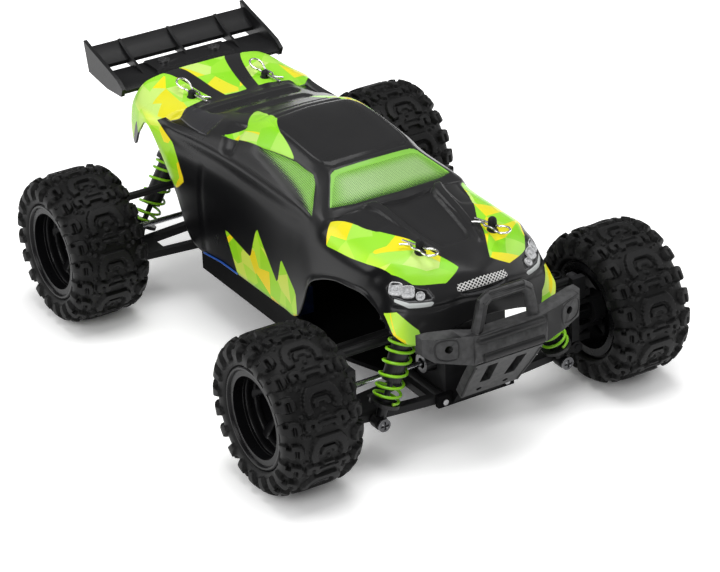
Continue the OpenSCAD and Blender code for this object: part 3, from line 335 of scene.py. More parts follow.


# Each finish: its dark, light and worn tone, which on the rims is also a painted highlight, its least and
# most roughness
NYLON = plastic("black_nylon", (0.008, 0.008, 0.0085), (0.016, 0.016, 0.017), (0.04, 0.04, 0.042),
                (0.42, 0.60), specular=0.2)
# The tub's black nylon, painted darker than the same nylon elsewhere as shade under the shell
TUB_SHADED_BLACK = plastic("tub_nylon_shaded", (0.002, 0.002, 0.0022), (0.004, 0.004, 0.0043), (0.008, 0.008, 0.0085),
                    (0.5, 0.65), specular=0.04)
BUMPER_GREY = plastic("bumper_plastic", (0.007, 0.007, 0.0075), (0.012, 0.012, 0.0126), (0.12, 0.12, 0.122),
                      (0.40, 0.54), grain=1500.0, bump=0.2, specular=0.28)
WING_BLACK = plastic("wing_plastic", (0.006, 0.006, 0.0065), (0.012, 0.012, 0.013), (0.07, 0.07, 0.072),
                     (0.30, 0.44), specular=0.24)
# Rims: the worn tone is pale enough to paint highlights on the edges of the spokes and lip, as well as wear
RIM_BLACK = plastic("rim_plastic", (0.004, 0.004, 0.0045), (0.008, 0.008, 0.009), (0.07, 0.07, 0.07),
                    (0.22, 0.34), specular=0.13)
SHOCK_BLACK = plastic("shock_plastic", (0.007, 0.007, 0.0075), (0.014, 0.014, 0.015), (0.06, 0.06, 0.06),
                      (0.35, 0.5), specular=0.3)
CASE_BLACK = plastic("case_plastic", (0.010, 0.010, 0.011), (0.018, 0.018, 0.02), (0.06, 0.06, 0.06),
                     (0.4, 0.55), specular=0.3)
WHITE_NYLON = plastic("white_nylon", (0.62, 0.62, 0.58), (0.74, 0.74, 0.70), (0.82, 0.82, 0.8), (0.4, 0.55))
SPRING_GREEN = plastic("spring_green", (0.29, 0.80, 0.006), (0.38, 0.92, 0.012), (0.55, 0.95, 0.10),
                       (0.24, 0.36), grain=900.0, bump=0.08, patches=120.0)
WRAP_BLUE = plastic("battery_wrap", (0.002, 0.008, 0.04), (0.003, 0.014, 0.07), (0.02, 0.05, 0.2),
                    (0.25, 0.4), grain=700.0, bump=0.1)
FILM_BLUE = plastic("film_edge", (0.006, 0.07, 0.42), (0.012, 0.11, 0.56), (0.1, 0.25, 0.7), (0.22, 0.36),
                    grain=700.0, bump=0.1)
STEEL = plastic("bright_steel", (0.52, 0.53, 0.55), (0.72, 0.73, 0.75), (0.9, 0.9, 0.91), (0.18, 0.34),
                grain=1800.0, bump=0.06, metallic=1.0)
DARK_STEEL = plastic("screw_steel", (0.06, 0.06, 0.065), (0.13, 0.13, 0.135), (0.5, 0.5, 0.51), (0.34, 0.48),
                     grain=1800.0, bump=0.06, metallic=1.0)
MOTOR_STEEL = plastic("motor_steel", (0.10, 0.10, 0.105), (0.17, 0.17, 0.175), (0.4, 0.4, 0.4), (0.3, 0.45),
                      grain=1600.0, bump=0.06, metallic=1.0)
NICKEL = plastic("clip_nickel", (0.70, 0.69, 0.67), (0.82, 0.81, 0.79), (0.86, 0.85, 0.83), (0.16, 0.28),
                 grain=300.0, bump=0.01, metallic=1.0)
BRASS = plastic("gear_brass", (0.56, 0.39, 0.13), (0.72, 0.53, 0.22), (0.9, 0.74, 0.4), (0.25, 0.4),
                grain=1500.0, bump=0.06, metallic=1.0)
LAMP_SILVER = plastic("lamp_reflector", (0.10, 0.10, 0.105), (0.95, 0.96, 0.98), (0.9, 0.9, 0.9), (0.2, 0.3),
                      grain=1100.0, bump=0.3, patches=1100.0)


def rubber_material():
    """Tyre rubber: two dark tones in broad patches, darker by the mesh's own painted shade values on the
    blocks' walls and the tread floor.
    """
    material, tree, shader = new_material("tyre_rubber")
    g = new_node(tree, "Group", {"Grain": 1300.0, "Patches": 45.0}, node_tree=GRAIN).outputs
    base = mix_colour(tree, g["Tone"], (0.0050, 0.0050, 0.0052), (0.0100, 0.0100, 0.0103))
    # Painted shade: the colour that the blocks' walls and the tread floor darken to
    painted_shade = (0.0015, 0.0015, 0.0015)
    feed(tree, shader, {"Base Color": mix_colour(tree, attribute(tree, "painted_shade"), base, painted_shade),
                        "Roughness": map_value(tree, g["Tone"], 0.46, 0.66), "Specular IOR Level": 0.22})
    add_bump(tree, shader, g["Height"], 0.3, 0.0003)
    return material


RUBBER = rubber_material()


# Camera, floor and light

# The photograph's view: angles in degrees, the point looked at in millimetres, the distance in metres, and
# the lens in pixels of a picture of that width
CAMERA_TURN, CAMERA_RISE, CAMERA_ROLL = -30.393, 27.251, -2.367
CAMERA_AIM, CAMERA_FAR = (-6.416, -40.999, 45.0), 1.51601
LENS_PIXELS, IMAGE_W, SENSOR_W = 2980.50, 720, 36.0
FLOOR_HALF = 6.0
# Lamps: name, place, point aimed at, size, power
LAMPS = (("overhead", (0.1, -0.05, 1.5), (0, 0, 0), 1.0, 13.5),
         ("key", (-1.5, -0.9, 1.1), (0, 0, 0.05), 0.9, 14.0),
         ("back", (-1.3, 1.3, 1.1), (0, 0, 0.08), 0.9, 9.0),
         ("fill", (1.5, -0.4, 0.8), (0, 0, 0.06), 1.2, 9.0))


def set_up(name, data, axes, place):
    """A camera or lamp at a place, whose right, up and backward directions are the rows of axes."""
    obj = bpy.data.objects.new(name, data)
    bpy.context.scene.collection.objects.link(obj)
    matrix = np.eye(4)
    matrix[:3, :3] = np.transpose(axes)
    matrix[:3, 3] = place
    obj.matrix_world = Matrix(matrix.tolist())
    return obj


def aim_camera():
    """The photograph's viewing angle: turned about the upright axis, raised, rolled a little, long lens."""
    az, el, roll = (math.radians(d) for d in (CAMERA_TURN, CAMERA_RISE, CAMERA_ROLL))
    back = np.array([math.sin(az) * math.cos(el), -math.cos(az) * math.cos(el), math.sin(el)])
    right = np.array([math.cos(az), math.sin(az), 0.0])
    up = np.cross(back, right)
    c, s = math.cos(roll), math.sin(roll)
    camera = bpy.data.cameras.new("photo_camera")
    camera.sensor_width = SENSOR_W
    camera.sensor_fit = "HORIZONTAL"
    camera.lens = LENS_PIXELS / IMAGE_W * SENSOR_W
    camera.clip_start = 0.05
    camera.clip_end = 20.0
    bpy.context.scene.camera = set_up("photo_camera", camera, [c * right + s * up, -s * right + c * up, back],
                                      np.array(CAMERA_AIM) * MM + back * CAMERA_FAR)


def lay_floor():
    """A pale floor far larger than the truck. The camera, gloss and glass see it lifted towards white, less
    where something stands close over it, as a painted contact shadow, and more far away; it throws little
    light back."""
    square = np.array([[-1, -1, 0], [1, -1, 0], [1, 1, 0], [-1, 1, 0]]) * FLOOR_HALF
    floor = bpy.data.objects.new("floor", make_mesh("floor", square, [[0, 1, 2, 3]]))
    bpy.context.scene.collection.objects.link(floor)
    material, tree, shader = new_material("floor_white")
    ray = new_node(tree, "LightPath").outputs
    seen = math_node(tree, "MAXIMUM", ray["Is Camera Ray"], ray["Is Transmission Ray"])
    seen = math_node(tree, "MAXIMUM", seen, ray["Is Glossy Ray"])
    feed(tree, shader, {"Base Color": mix_colour(tree, seen, (0.30, 0.30, 0.30), (1.0, 1.0, 1.0)),
                        "Roughness": 0.9, "Specular IOR Level": 0.0})
    # Painted contact shadow: the lift falls where something stands close over the floor
    clear = new_node(tree, "AmbientOcclusion", {"Distance": 0.05}, samples=8).outputs["AO"]
    place = new_node(tree, "TexCoord").outputs["Object"]
    away = new_node(tree, "VectorMath", {0: place}, operation="LENGTH").outputs["Value"]
    far = map_value(tree, away, 0.0, 0.7, 0.25, 1.2)
    lift = math_node(tree, "MULTIPLY", math_node(tree, "POWER", clear, 1.3), 0.5)
    lift = math_node(tree, "MULTIPLY", seen, math_node(tree, "ADD", lift, far))
    glow = new_node(tree, "Emission", {"Color": (1.0, 1.0, 1.0), "Strength": lift})
    both = new_node(tree, "AddShader", {0: shader.outputs["BSDF"], 1: glow.outputs["Emission"]})
    feed(tree, tree.nodes["Material Output"], {"Surface": both.outputs["Shader"]})
    floor.data.materials.append(material)


def light_studio():
    """A pale world and four soft lamps: one overhead, a key from the camera's left, one behind, a fill."""
    world = bpy.data.worlds.new("studio")
    bpy.context.scene.world = world
    world.use_nodes = True
    tree = world.node_tree
    ray = new_node(tree, "LightPath").outputs
    seen = math_node(tree, "MAXIMUM", ray["Is Camera Ray"], ray["Is Transmission Ray"])
    strength = map_value(tree, seen, 0.20, 1.0)
    feed(tree, tree.nodes["Background"], {"Color": (1.0, 1.0, 1.0), "Strength": strength})
    for name, place, aim, size, power in LAMPS:
        lamp = bpy.data.lights.new(name, "AREA")
        lamp.size = size
        lamp.energy = power
        set_up(name, lamp, frame_of(np.subtract(place, aim)), place)


aim_camera()
lay_floor()
light_studio()
bpy.context.scene.view_settings.view_transform = "Standard"


# Body shell

# Rows of the shell's left half as in the part's source: each row's places across, along from the front or
# rear axle, and heights, in millimetres
FRONT_ROWS = [
    [[0, 12, 22, 32, 41.5, 47, 47.5], [-25.5, -26, -26, -25.5, -24.5, -18, -10],
     [71, 70.5, 69, 66, 67.5, 72.5, 77.5]],
    [[0, 12, 22, 31, 39, 44.5, 47], [-28, -27.3, -25.5, -22.5, -17.5, -10.5, -3],
     [84, 85, 84, 83.5, 83.5, 83, 81]],
    [[0, 13, 22, 30, 38, 44, 47.5], [-26, -24.5, -21.5, -17, -10.5, -4, 3],
     [91.5, 90.5, 91, 91, 92, 90, 83.5]],
    [[0, 9, 20, 29, 36.5, 43.5, 48], [-19, -18.5, -15, -11, -5.5, 2, 10], [97, 97, 97, 97, 96.5, 93, 83.8]],
    [[0, 10, 20, 29, 37.5, 44.5, 48.3], [-3, -3, -3, -1, 3, 9, 17], [101, 101.5, 102.3, 101.5, 99.5, 94, 83]],
    [[0, 11, 20, 30, 39, 45.5, 48.3], [16, 16, 17, 18, 20, 25, 30], [103.5, 104.5, 104.8, 103, 99.5, 92, 81]],
    [[0, 12, 20, 31, 40, 46, 48.3], [38, 39, 41, 44, 46, 46, 45], [107, 108, 107.5, 104.8, 99.5, 90, 75.5]],
    [[0, 13, 25, 37, 42, 46.5, 48.3], [45, 46, 49, 53, 56, 58, 57.5], [109, 109, 107, 104.3, 100, 86, 67]],
    [[0, 12, 20, 27.5, 40.5, 46.5, 47.5], [68, 69, 70, 71.5, 74, 74, 72],
     [117.5, 117, 116.3, 114.3, 101.5, 80, 44]],
    [[0, 12, 22, 28.5, 41, 46.5, 47], [90, 90, 90, 90, 90, 90, 88],
     [121, 120.7, 120, 117.5, 101.5, 78, 41.5]]]
REAR_ROWS = [
    [[0, 12, 22, 29, 41.5, 47, 46.5], [-88, -88, -88, -88, -89, -90, -92],
     [124.5, 124, 123, 119, 102, 78, 40.5]],
    [[0, 12, 23, 31, 42, 47.5, 46.3], [-63, -63, -63, -63, -64, -65, -66],
     [118, 117.8, 116.5, 113, 101.5, 78, 40]],
    [[0, 13, 25, 35, 43.5, 48.5, 46.5], [-36, -36, -36, -36, -36, -35, -32],
     [110, 110, 109, 106.5, 100, 76, 39.5]],
    [[0, 14, 27, 37, 45.5, 49.5, 48.5], [-12, -12, -12, -12, -13, -15, -19],
     [104.5, 104.5, 104, 103, 99, 84, 66]],
    [[0, 14, 28, 39, 46.3, 49, 50], [4, 4, 4, 4, 4, 4, 3.5], [104.3, 104.3, 104, 103, 100, 97.5, 94.5]],
    [[0, 14, 28, 38.5, 46, 48.5, 49], [19, 19, 19, 19, 18.5, 18, 17], [106.3, 106.3, 105.8, 104, 99, 93, 87]],
    [[0, 14, 28, 38, 45, 47.5, 47.5], [29, 29, 28.5, 28, 27.5, 27, 26], [108, 108, 107.2, 105, 98, 87, 75.5]],
    [[0, 14, 28, 37, 44, 46.5, 46.8], [34, 34, 33.5, 33, 32, 31, 30],
     [108.5, 108.4, 107.5, 105, 97.5, 87, 78]]]
HALF_ROWS = np.concatenate([np.transpose(rows, (0, 2, 1)) * MM + [0, axle, 0]
                            for rows, axle in ((FRONT_ROWS, FRONT_Y), (REAR_ROWS, REAR_Y))])
SHELL_ROWS = np.concatenate([HALF_ROWS[:, :0:-1] * [-1, 1, 1], HALF_ROWS], 1)
SIDE = HALF_ROWS.shape[1] - 1
LAST_ROW = len(HALF_ROWS) - 1
# Rough size of one step along the rows and across them, in millimetres, for distances on the shell
STEP_U, STEP_V = 15.0, 11.0


def shell_point(u, v):
    """The bare shell: cubic curves through the rows' points across, then along. u counts rows, v columns."""
    across = catmull(SHELL_ROWS.transpose(1, 0, 2), v + SIDE)
    return catmull(across.transpose(1, 0, 2), u)


def on_shell(u, v, *patches):
    """Signed distance in millimetres to the nearest of some (row, column) polygons, both sides alike."""
    return np.min([polygon_distance(u * STEP_U, np.abs(v) * STEP_V, np.multiply(p, [STEP_U, STEP_V]))
                   for p in patches], 0)


WINDSCREEN = [(7.10, -1), (7.08, 1.2), (7.14, 2.3), (7.22, 2.92), (7.75, 2.90), (8.02, 2.76), (8.12, 2.3),
              (8.14, -1)]
SCREEN_MESH = [(6.9, -1), (6.9, 2.95), (7.30, 2.84), (7.66, 2.78), (7.90, 2.56), (7.97, 2.2), (7.99, -1)]
SIDE_GLASS = [(10.10, 3.52), (9.55, 3.34), (9.15, 3.22), (8.50, 3.24), (8.12, 3.40), (7.62, 3.74),
              (7.42, 4.02), (8.15, 3.98), (9.0, 3.84)]
QUARTER_PANE = [(13.34, 2.00), (11.80, 2.05), (11.72, 3.66), (13.40, 3.72)]
QUARTER_SLOT = [(13.40, 3.68), (13.20, 2.92), (11.78, 3.60)]
AIR_INTAKE = [(11.60, 2.50), (10.74, 2.85), (10.68, 3.95), (11.05, 3.98)]
REAR_SLOT_1 = [(11.25, -1), (11.30, 1.45), (11.50, 1.70), (11.80, 1.65), (11.88, -1)]
REAR_SLOT_2 = [(12.12, -1), (12.15, 1.75), (12.40, 2.05), (12.66, 1.95), (12.74, -1)]
ROOF_PANEL = [(8.36, -1), (8.36, 2.1), (8.52, 2.62), (9.85, 2.55), (10.18, 2.2), (10.25, -1)]
BONNET_WELL = [(4.05, -1), (4.05, 0.78), (4.3, 0.92), (6.45, 1.32), (6.50, -1)]
BONNET_SCOOP = [(3.75, 1.02), (3.75, 1.28), (6.15, 2.18), (6.50, 2.05), (6.52, 1.45)]
BONNET_PANEL = [(6.42, 2.3), (5.3, 2.1), (5.2, 3.0), (6.5, 3.35)]
LAMP_PANEL = [(1.30, 2.55), (1.42, 2.45), (1.95, 2.62), (2.12, 3.4), (2.10, 4.35), (1.9, 4.62), (1.45, 4.55),
              (1.22, 3.8)]
LAMP_STRIP = [(1.18, 2.45), (1.02, 2.62), (1.00, 3.8), (1.22, 4.5), (1.36, 4.45), (1.18, 3.7), (1.22, 2.6)]
GRILLE = [(1.52, -1), (1.50, 0.98), (1.62, 1.12), (2.14, 1.06), (2.20, -1)]
NOSE_SLOT = [(1.10, -1), (1.08, 0.75), (1.22, 1.02), (1.42, 1.0), (1.44, -1)]
# Sunk panels and their depths in millimetres
SUNK = ((WINDSCREEN, 0.7), (SIDE_GLASS, 0.7), (REAR_SLOT_1, 1.3), (REAR_SLOT_2, 1.6), (BONNET_WELL, 2.0),
        (BONNET_PANEL, 0.6), (LAMP_PANEL, 0.9), (NOSE_SLOT, 2.0))
# Patches of the faceted paint, the stripe left out of them, and the patch on the flank, which is
# [along, height] in millimetres, seen square on
PAINT = [
    [(13.35, -1), (13.55, 1.4), (13.2, 3.2), (13.7, 4.2), (17.2, 6.2), (17.2, -1)],
    [(13.9, 4.1), (12.75, 4.45), (12.15, 5.05), (12.9, 5.65), (14.2, 6.2), (15.2, 6.2), (15.2, 4.1)],
    [(11.35, 1.25), (10.75, 2.9), (11.3, 3.5), (9.85, 3.42), (9.2, 3.2), (9.75, 2.65), (10.1, 1.8)],
    [(6.4, 3.6), (5.5, 3.05), (4.6, 1.95), (3.0, 1.0), (2.25, 1.6), (2.2, 3.3), (2.9, 4.2), (4.2, 4.6),
     (5.9, 4.75)],
    [(-0.2, 3.0), (0.45, 3.4), (0.85, 4.5), (0.7, 5.4), (-0.2, 4.75)]]
PAINT_OUT = [(13.2, 0.42), (17.2, 1.05), (17.2, 1.75), (13.2, 0.95)]
FLANK_PATCH = [(-48, 34), (-47, 56), (-33, 69), (-28, 53), (-9, 77), (-1, 57), (25, 63), (13, 34)]
# Body posts: across and along in millimetres, and the radius of the ring round each that is left bare of
# livery, with a disc of painted shade of the hole inside it
POST_HOLES = [(20.7, FRONT_Y / MM - 3.3), (22.5, REAR_Y / MM + 4.1)]
POST_RING = 2.9


def shell_relief(u, v):
    """Height of the relief in millimetres: sunk panels, scoops, grooves and ridges, each a ramp or a bell."""
    w = np.abs(v)
    h = np.zeros(u.shape)
    for panel, depth in SUNK:
        h -= depth * ramp(-on_shell(u, v, panel), -0.35, 0.6)
    lean = ramp(w - 2.05, 0, np.maximum(3.72 - 0.48 * (u - 11.7) - 2.05, 0.4))
    h -= 3.2 * lean * ramp(-on_shell(u, v, QUARTER_PANE), -0.3, 0.7)
    h -= 1.5 * ramp(11.60 - u, 0, 0.8) * ramp(-on_shell(u, v, AIR_INTAKE), -0.4, 1.6)
    scoop = ramp(-on_shell(u, v, BONNET_SCOOP), -0.6, 1.4)
    h += scoop * (0.5 + 1.5 * ramp(u, 3.8, 6.4))
    roof = on_shell(u, v, ROOF_PANEL)
    h += 0.35 * ramp(-roof, -0.4, 1.0) - 0.7 * bell(roof, 0.8)
    # Groove behind the roof and lip of the rear deck
    h -= 0.7 * bell((u - 10.62) * STEP_U, 0.9) * ramp(2.5 - w, 0, 0.15)
    h += 0.8 * bell((u - 12.98) * STEP_U, 1.3) * ramp(2.4 - w, 0, 0.3)
    # Ridge and groove of the belt line, arch flange, groove over the nose and door gap
    belt = ramp(u, 7.3, 8.2) * ramp(13.4 - u, 0, 0.8)
    h += 0.7 * belt * bell((w - 4.06) * STEP_V, 1.6) - 0.35 * belt * bell((w - 4.32) * STEP_V, 1.6)
    arch = ramp(u, 0.3, 1.4) * ramp(7.6 - u, 0, 0.8)
    h += 0.9 * arch * ramp(w, 5.72, 5.94)
    h -= 0.6 * bell((u - 0.95) * STEP_U, 0.9) * ramp(4.9 - w, 0, 0.5)
    h -= 0.4 * bell((u - 11.55) * STEP_U, 0.6) * ramp(w, 4.45, 4.6)
    return h


def shell_surface(steps):
    """Places on the shell, its bare points, its skin with the relief along the normal, and the normals."""
    u = np.linspace(0, LAST_ROW, LAST_ROW * steps + 1)
    v = np.linspace(-SIDE, SIDE, 2 * SIDE * steps + 1)
    flat = shell_point(u, v)
    uu, vv = np.meshgrid(u, v, indexing="ij")
    n = np.cross(np.gradient(flat, axis=1), np.gradient(flat, axis=0))
    n /= np.linalg.norm(n, axis=-1, keepdims=True)
    skin = flat + n * (shell_relief(uu, vv) * MM)[..., None]
    return uu, vv, flat, skin, n


def arc_lengths(points):
    """Distance along the middle row and across each row from its middle, in millimetres."""
    middle = points.shape[1] // 2
    along = np.concatenate([[0], np.cumsum(np.linalg.norm(np.diff(points[:, middle], axis=0), axis=1))])
    across = np.concatenate([np.zeros((len(points), 1)),
                             np.cumsum(np.linalg.norm(np.diff(points, axis=1), axis=2), 1)], 1)
    across -= across[:, middle:middle + 1]
    return np.broadcast_to(along[:, None], across.shape) / MM, across / MM


# Facets of the paint: seeds per millimetre, wedges about each seed, and where each colour starts in the draw
FACET_SEEDS, FACET_WEDGES = 0.0445, 5
FACET_COLOURS = ((0.0, (0.33, 0.80, 0.03)), (0.28, (0.44, 0.86, 0.09)), (0.50, (0.27, 0.76, 0.012)),
                 (0.60, (0.62, 0.88, 0.20)), (0.73, (0.92, 0.80, 0.012)), (0.88, (0.84, 0.78, 0.02)))
# Dots of the tinted panes per millimetre; spacing of the grille's bars in millimetres, and their share of it
PANE_DOTS, BAR_PITCH, BAR_SHARE = 1.1, 2.1, 0.32


def faceted_paint(tree, panel, flank_painted_light):
    """A cell round each seed, cut into wedges about it; each wedge draws a colour, brighter on the flank as
    painted light.
    """
    cells = new_node(tree, "TexVoronoi", voronoi_dimensions="2D")
    feed(tree, cells, {"Vector": panel, "Scale": FACET_SEEDS})
    apart = new_node(tree, "VectorMath", {0: panel, 1: cells.outputs["Position"]}, operation="SUBTRACT")
    x, y, _ = new_node(tree, "SeparateXYZ", {0: apart.outputs["Vector"]}).outputs
    first = new_node(tree, "SeparateColor", {0: cells.outputs["Color"]}).outputs
    start = math_node(tree, "MULTIPLY", first[0], 6.283)
    turn = math_node(tree, "ADD", math_node(tree, "ARCTAN2", y, x), start)
    wedge = math_node(tree, "FLOOR", math_node(tree, "DIVIDE", turn, 6.2832 / FACET_WEDGES))
    key = new_node(tree, "CombineXYZ", {0: first[0], 1: first[1], 2: wedge}).outputs[0]
    draw = new_node(tree, "TexWhiteNoise", {"Vector": key}, noise_dimensions="3D").outputs["Value"]
    chart = new_node(tree, "ValToRGB", {"Fac": draw})
    chart.color_ramp.interpolation = "CONSTANT"
    stops = chart.color_ramp.elements
    for i, (place, colour) in enumerate(FACET_COLOURS):
        stop = stops[i] if i < 2 else stops.new(place)
        stop.position = place
        stop.color = (*colour, 1)
    drawn = chart.outputs["Color"]
    reach = math_node(tree, "MULTIPLY", cells.outputs["Distance"], 0.5, clamp=True)
    facets = mix_colour(tree, 0.75, mix_colour(tree, reach, drawn, (0.62, 0.86, 0.22)), drawn)
    # Painted light: the facets on the flank made brighter
    bright = new_node(tree, "VectorMath", {0: facets, 1: (1.35, 1.16, 0.6)}, operation="MULTIPLY")
    return mix_colour(tree, flank_painted_light, facets, bright.outputs["Vector"])


def tinted_panes(tree, panel, screen, mesh_tint):
    """Mesh-tinted panes: dark dots that grow by the fade value, paler by the pale value, a clear border."""
    dots = new_node(tree, "TexVoronoi", voronoi_dimensions="2D")
    feed(tree, dots, {"Vector": panel, "Scale": PANE_DOTS, "Randomness": 0.1})
    fade, pale = attribute(tree, "fade"), attribute(tree, "pale")
    dot = math_node(tree, "LESS_THAN", dots.outputs["Distance"], math_node(tree, "MULTIPLY", fade, 0.8))
    clear = mix_colour(tree, pale, (0.24, 0.56, 0.07), (0.46, 0.62, 0.34))
    shade = mix_colour(tree, screen, (0.012, 0.014, 0.012),
                       mix_colour(tree, pale, (0.03, 0.07, 0.018), (0.20, 0.32, 0.12)))
    border = math_node(tree, "SUBTRACT", screen, mesh_tint, clamp=True)
    return mix_colour(tree, border, mix_colour(tree, dot, clear, shade), (0.25, 0.58, 0.08))


def grille_lattice(tree, panel):
    """White lattice of the grille: two families of thin diagonal bars on black."""
    x, y, _ = new_node(tree, "SeparateXYZ", {0: panel}).outputs
    bars = []
    for sign in ("ADD", "SUBTRACT"):
        across = math_node(tree, "DIVIDE", math_node(tree, sign, x, y), BAR_PITCH)
        bars.append(math_node(tree, "LESS_THAN", math_node(tree, "FRACT", across), BAR_SHARE))
    return mix_colour(tree, math_node(tree, "MAXIMUM", *bars), (0.008, 0.008, 0.009), (0.80, 0.80, 0.78))


def paint_material():
    """Painted clear shell: black ground, paler on top as a painted sheen and darker on the flank as painted
    shade, then a painted sheen on the quarter panes, facets, tinted panes, dark panels with painted shade in
    the post holes, grille and lamp strips.
    """
    material, tree, shader = new_material("painted_shell")
    g = new_node(tree, "Group", {"Grain": 1600.0, "Patches": 35.0}, node_tree=GRAIN).outputs
    panel = new_node(tree, "UVMap", uv_map="panel").outputs["UV"]
    flank_painted_light = attribute(tree, "flank_painted_light")

    def mask(name, edge=0.12):
        """1 where the named distance on the shell is below zero, with a thin soft edge."""
        return map_value(tree, attribute(tree, name), 0.0, 1.0, edge, -edge)

    def patchy(dark, light):
        """Two tones in broad patches."""
        return mix_colour(tree, g["Tone"], dark, light)

    rim_line = math_node(tree, "GREATER_THAN", attribute(tree, "dark"), -0.8)
    # Black ground: paler on top as a painted sheen, darker on the flank as painted shade
    colour = mix_colour(tree, flank_painted_light, patchy((0.017, 0.017, 0.018), (0.026, 0.0258, 0.0264)),
                        patchy((0.0025, 0.0026, 0.0032), (0.0050, 0.0050, 0.0058)))
    for where, over in (
            # Painted sheen: the sunk quarter panes paler than the black ground
            (mask("quarter_pane_sheen", 0.5), patchy((0.030, 0.030, 0.033), (0.044, 0.044, 0.048))),
            (mask("paint"), faceted_paint(tree, panel, flank_painted_light)),
            (mask("glass"), tinted_panes(tree, panel, mask("screen"), mask("screen_mesh"))),
            (mask("dark"), mix_colour(tree, rim_line, (0.006, 0.006, 0.007), (0.10, 0.10, 0.105))),
            (mask("grille"), grille_lattice(tree, panel)),
            (mask("strip"), patchy((0.5, 0.52, 0.52), (0.75, 0.78, 0.76)))):
        colour = mix_colour(tree, where, colour, over)
    feed(tree, shader, {"Base Color": colour, "Roughness": map_value(tree, g["Tone"], 0.26, 0.30),
                        "Specular IOR Level": 0.17, "Coat Weight": 0.06, "Coat Roughness": 0.12})
    add_bump(tree, shader, g["Height"], 0.02, 0.0002)
    return material


def side_drop(u, v):
    """How far a place lies below the side pane's lower edge, in millimetres: its distance to that line."""
    (u0, v0), (u1, v1) = SIDE_GLASS[0], SIDE_GLASS[-2]
    along = np.array([(u1 - u0) * STEP_U, (v1 - v0) * STEP_V])
    along /= np.linalg.norm(along)
    return (np.abs(v) - v0) * STEP_V * -along[0] + (u - u0) * STEP_U * along[1]


def make_shell():
    """The shell's outer skin with its relief, an inner skin one thickness inside, joined along the edges."""
    u, v, flat, skin, n = shell_surface(14)
    rows, columns = u.shape
    count = rows * columns
    faces = grid_faces(rows, columns)
    ring = np.concatenate([np.arange(columns), np.arange(1, rows) * columns + columns - 1,
                           (rows - 1) * columns + np.arange(columns - 2, -1, -1),
                           np.arange(rows - 2, 0, -1) * columns])
    after = np.roll(ring, -1)
    rim = np.stack([ring, after, after + count, ring + count], -1)
    points = np.concatenate([skin.reshape(-1, 3), (skin - n * SHELL_T).reshape(-1, 3)])
    mesh = make_mesh("body_shell", points, np.concatenate([faces, faces[:, ::-1] + count, rim]))
    x, y, z = np.moveaxis(flat / MM, -1, 0)
    w = np.abs(v)
    holes = np.min([np.hypot(np.abs(x) - a, y - b) - POST_RING for a, b in POST_HOLES], 0)
    shards = np.where(w > 4, polygon_distance(y, z, FLANK_PATCH), 99.0)
    painted = np.minimum(on_shell(u, v, *PAINT), shards)
    # Distances in millimetres, which end at the outer skin, and values, which the inner skin has too
    distances = {
        "glass": on_shell(u, v, WINDSCREEN, SIDE_GLASS),
        "screen": on_shell(u, v, WINDSCREEN),
        "screen_mesh": on_shell(u, v, SCREEN_MESH),
        # The dark discs round the posts are painted shade of the holes round them
        "dark": np.minimum(on_shell(u, v, QUARTER_SLOT, LAMP_PANEL, NOSE_SLOT), holes + 0.6),
        # Painted sheen of the quarter panes, less the dark slot in them
        "quarter_pane_sheen": np.maximum(on_shell(u, v, QUARTER_PANE), -on_shell(u, v, QUARTER_SLOT)),
        "grille": on_shell(u, v, GRILLE),
        "strip": on_shell(u, v, LAMP_STRIP)}
    values = {
        "paint": np.maximum(np.maximum(painted, -on_shell(u, v, PAINT_OUT)), -holes),
        "fade": np.where(w < 3.05, 0.68 - 0.32 * ramp(u, 7.10, 7.42),
                         0.33 + 0.62 * ramp(side_drop(u, v), -3.0, 0.5)),
        # Where the flank begins, which carries the painted shade of the ground and the painted light of the
        # facets
        "flank_painted_light": ramp(w, 3.7, 4.5),
        "pale": 0.6 * ramp(u, 7.12, 7.45) * ramp(-u, -7.98, -7.72) * ramp(-w, -2.75, -1.9)}
    for name, field in (distances | values).items():
        behind = np.full(count, 9.0) if name in distances else field.ravel()
        a = mesh.attributes.new(name, "FLOAT", "POINT")
        a.data.foreach_set("value", np.concatenate([field.ravel(), behind]))
    spots = np.tile(np.stack(arc_lengths(flat), -1).reshape(-1, 2), (2, 1))
    corner = np.empty(len(mesh.loops), int)
    mesh.loops.foreach_get("vertex_index", corner)
    mesh.uv_layers.new(name="panel").data.foreach_set("uv", spots[corner].ravel())
    add_piece("painted_shell", mesh, paint_material(), "chassis", "painted_shell", ["body_shell"])


make_shell()


# Wheels

# Length of one repeat of the tread and the tread's radius in millimetres, repeats round the tyre, and the
# steps of its mesh round and across
TREAD_PITCH, TREAD_R, TREAD_REPEATS, TYRE_SIDES, TYRE_STEPS = 25.1, 38, 10, 610, 120
# Millimetres across from the middle where the lugs begin to run out and where the plain side wall starts
LUG_RUN_OUT, WALL_START = 20, 26
SPOKES = 6
# Carcass from the middle of the tread to the bead, as (radius, across) pairs in millimetres, and its inside
CARCASS = [(38.2, 0), (38.2, 5), (37.9, 9.5), (37.2, 13.5), (35.8, 16.9), (33.2, 19.3), (30.4, 20.1),
           (28.6, 20.0), (27.4, 19.7), (26.8, 19.3), (26.4, 18.9), (26.2, 18.4), (26.1, 17.6), (25.6, 16.5),
           (23.1, 16.4)]
CARCASS_INSIDE = np.array([[23.1, 13.2], [33.0, 13.2], [33.0, -13.2], [23.1, -13.2]])
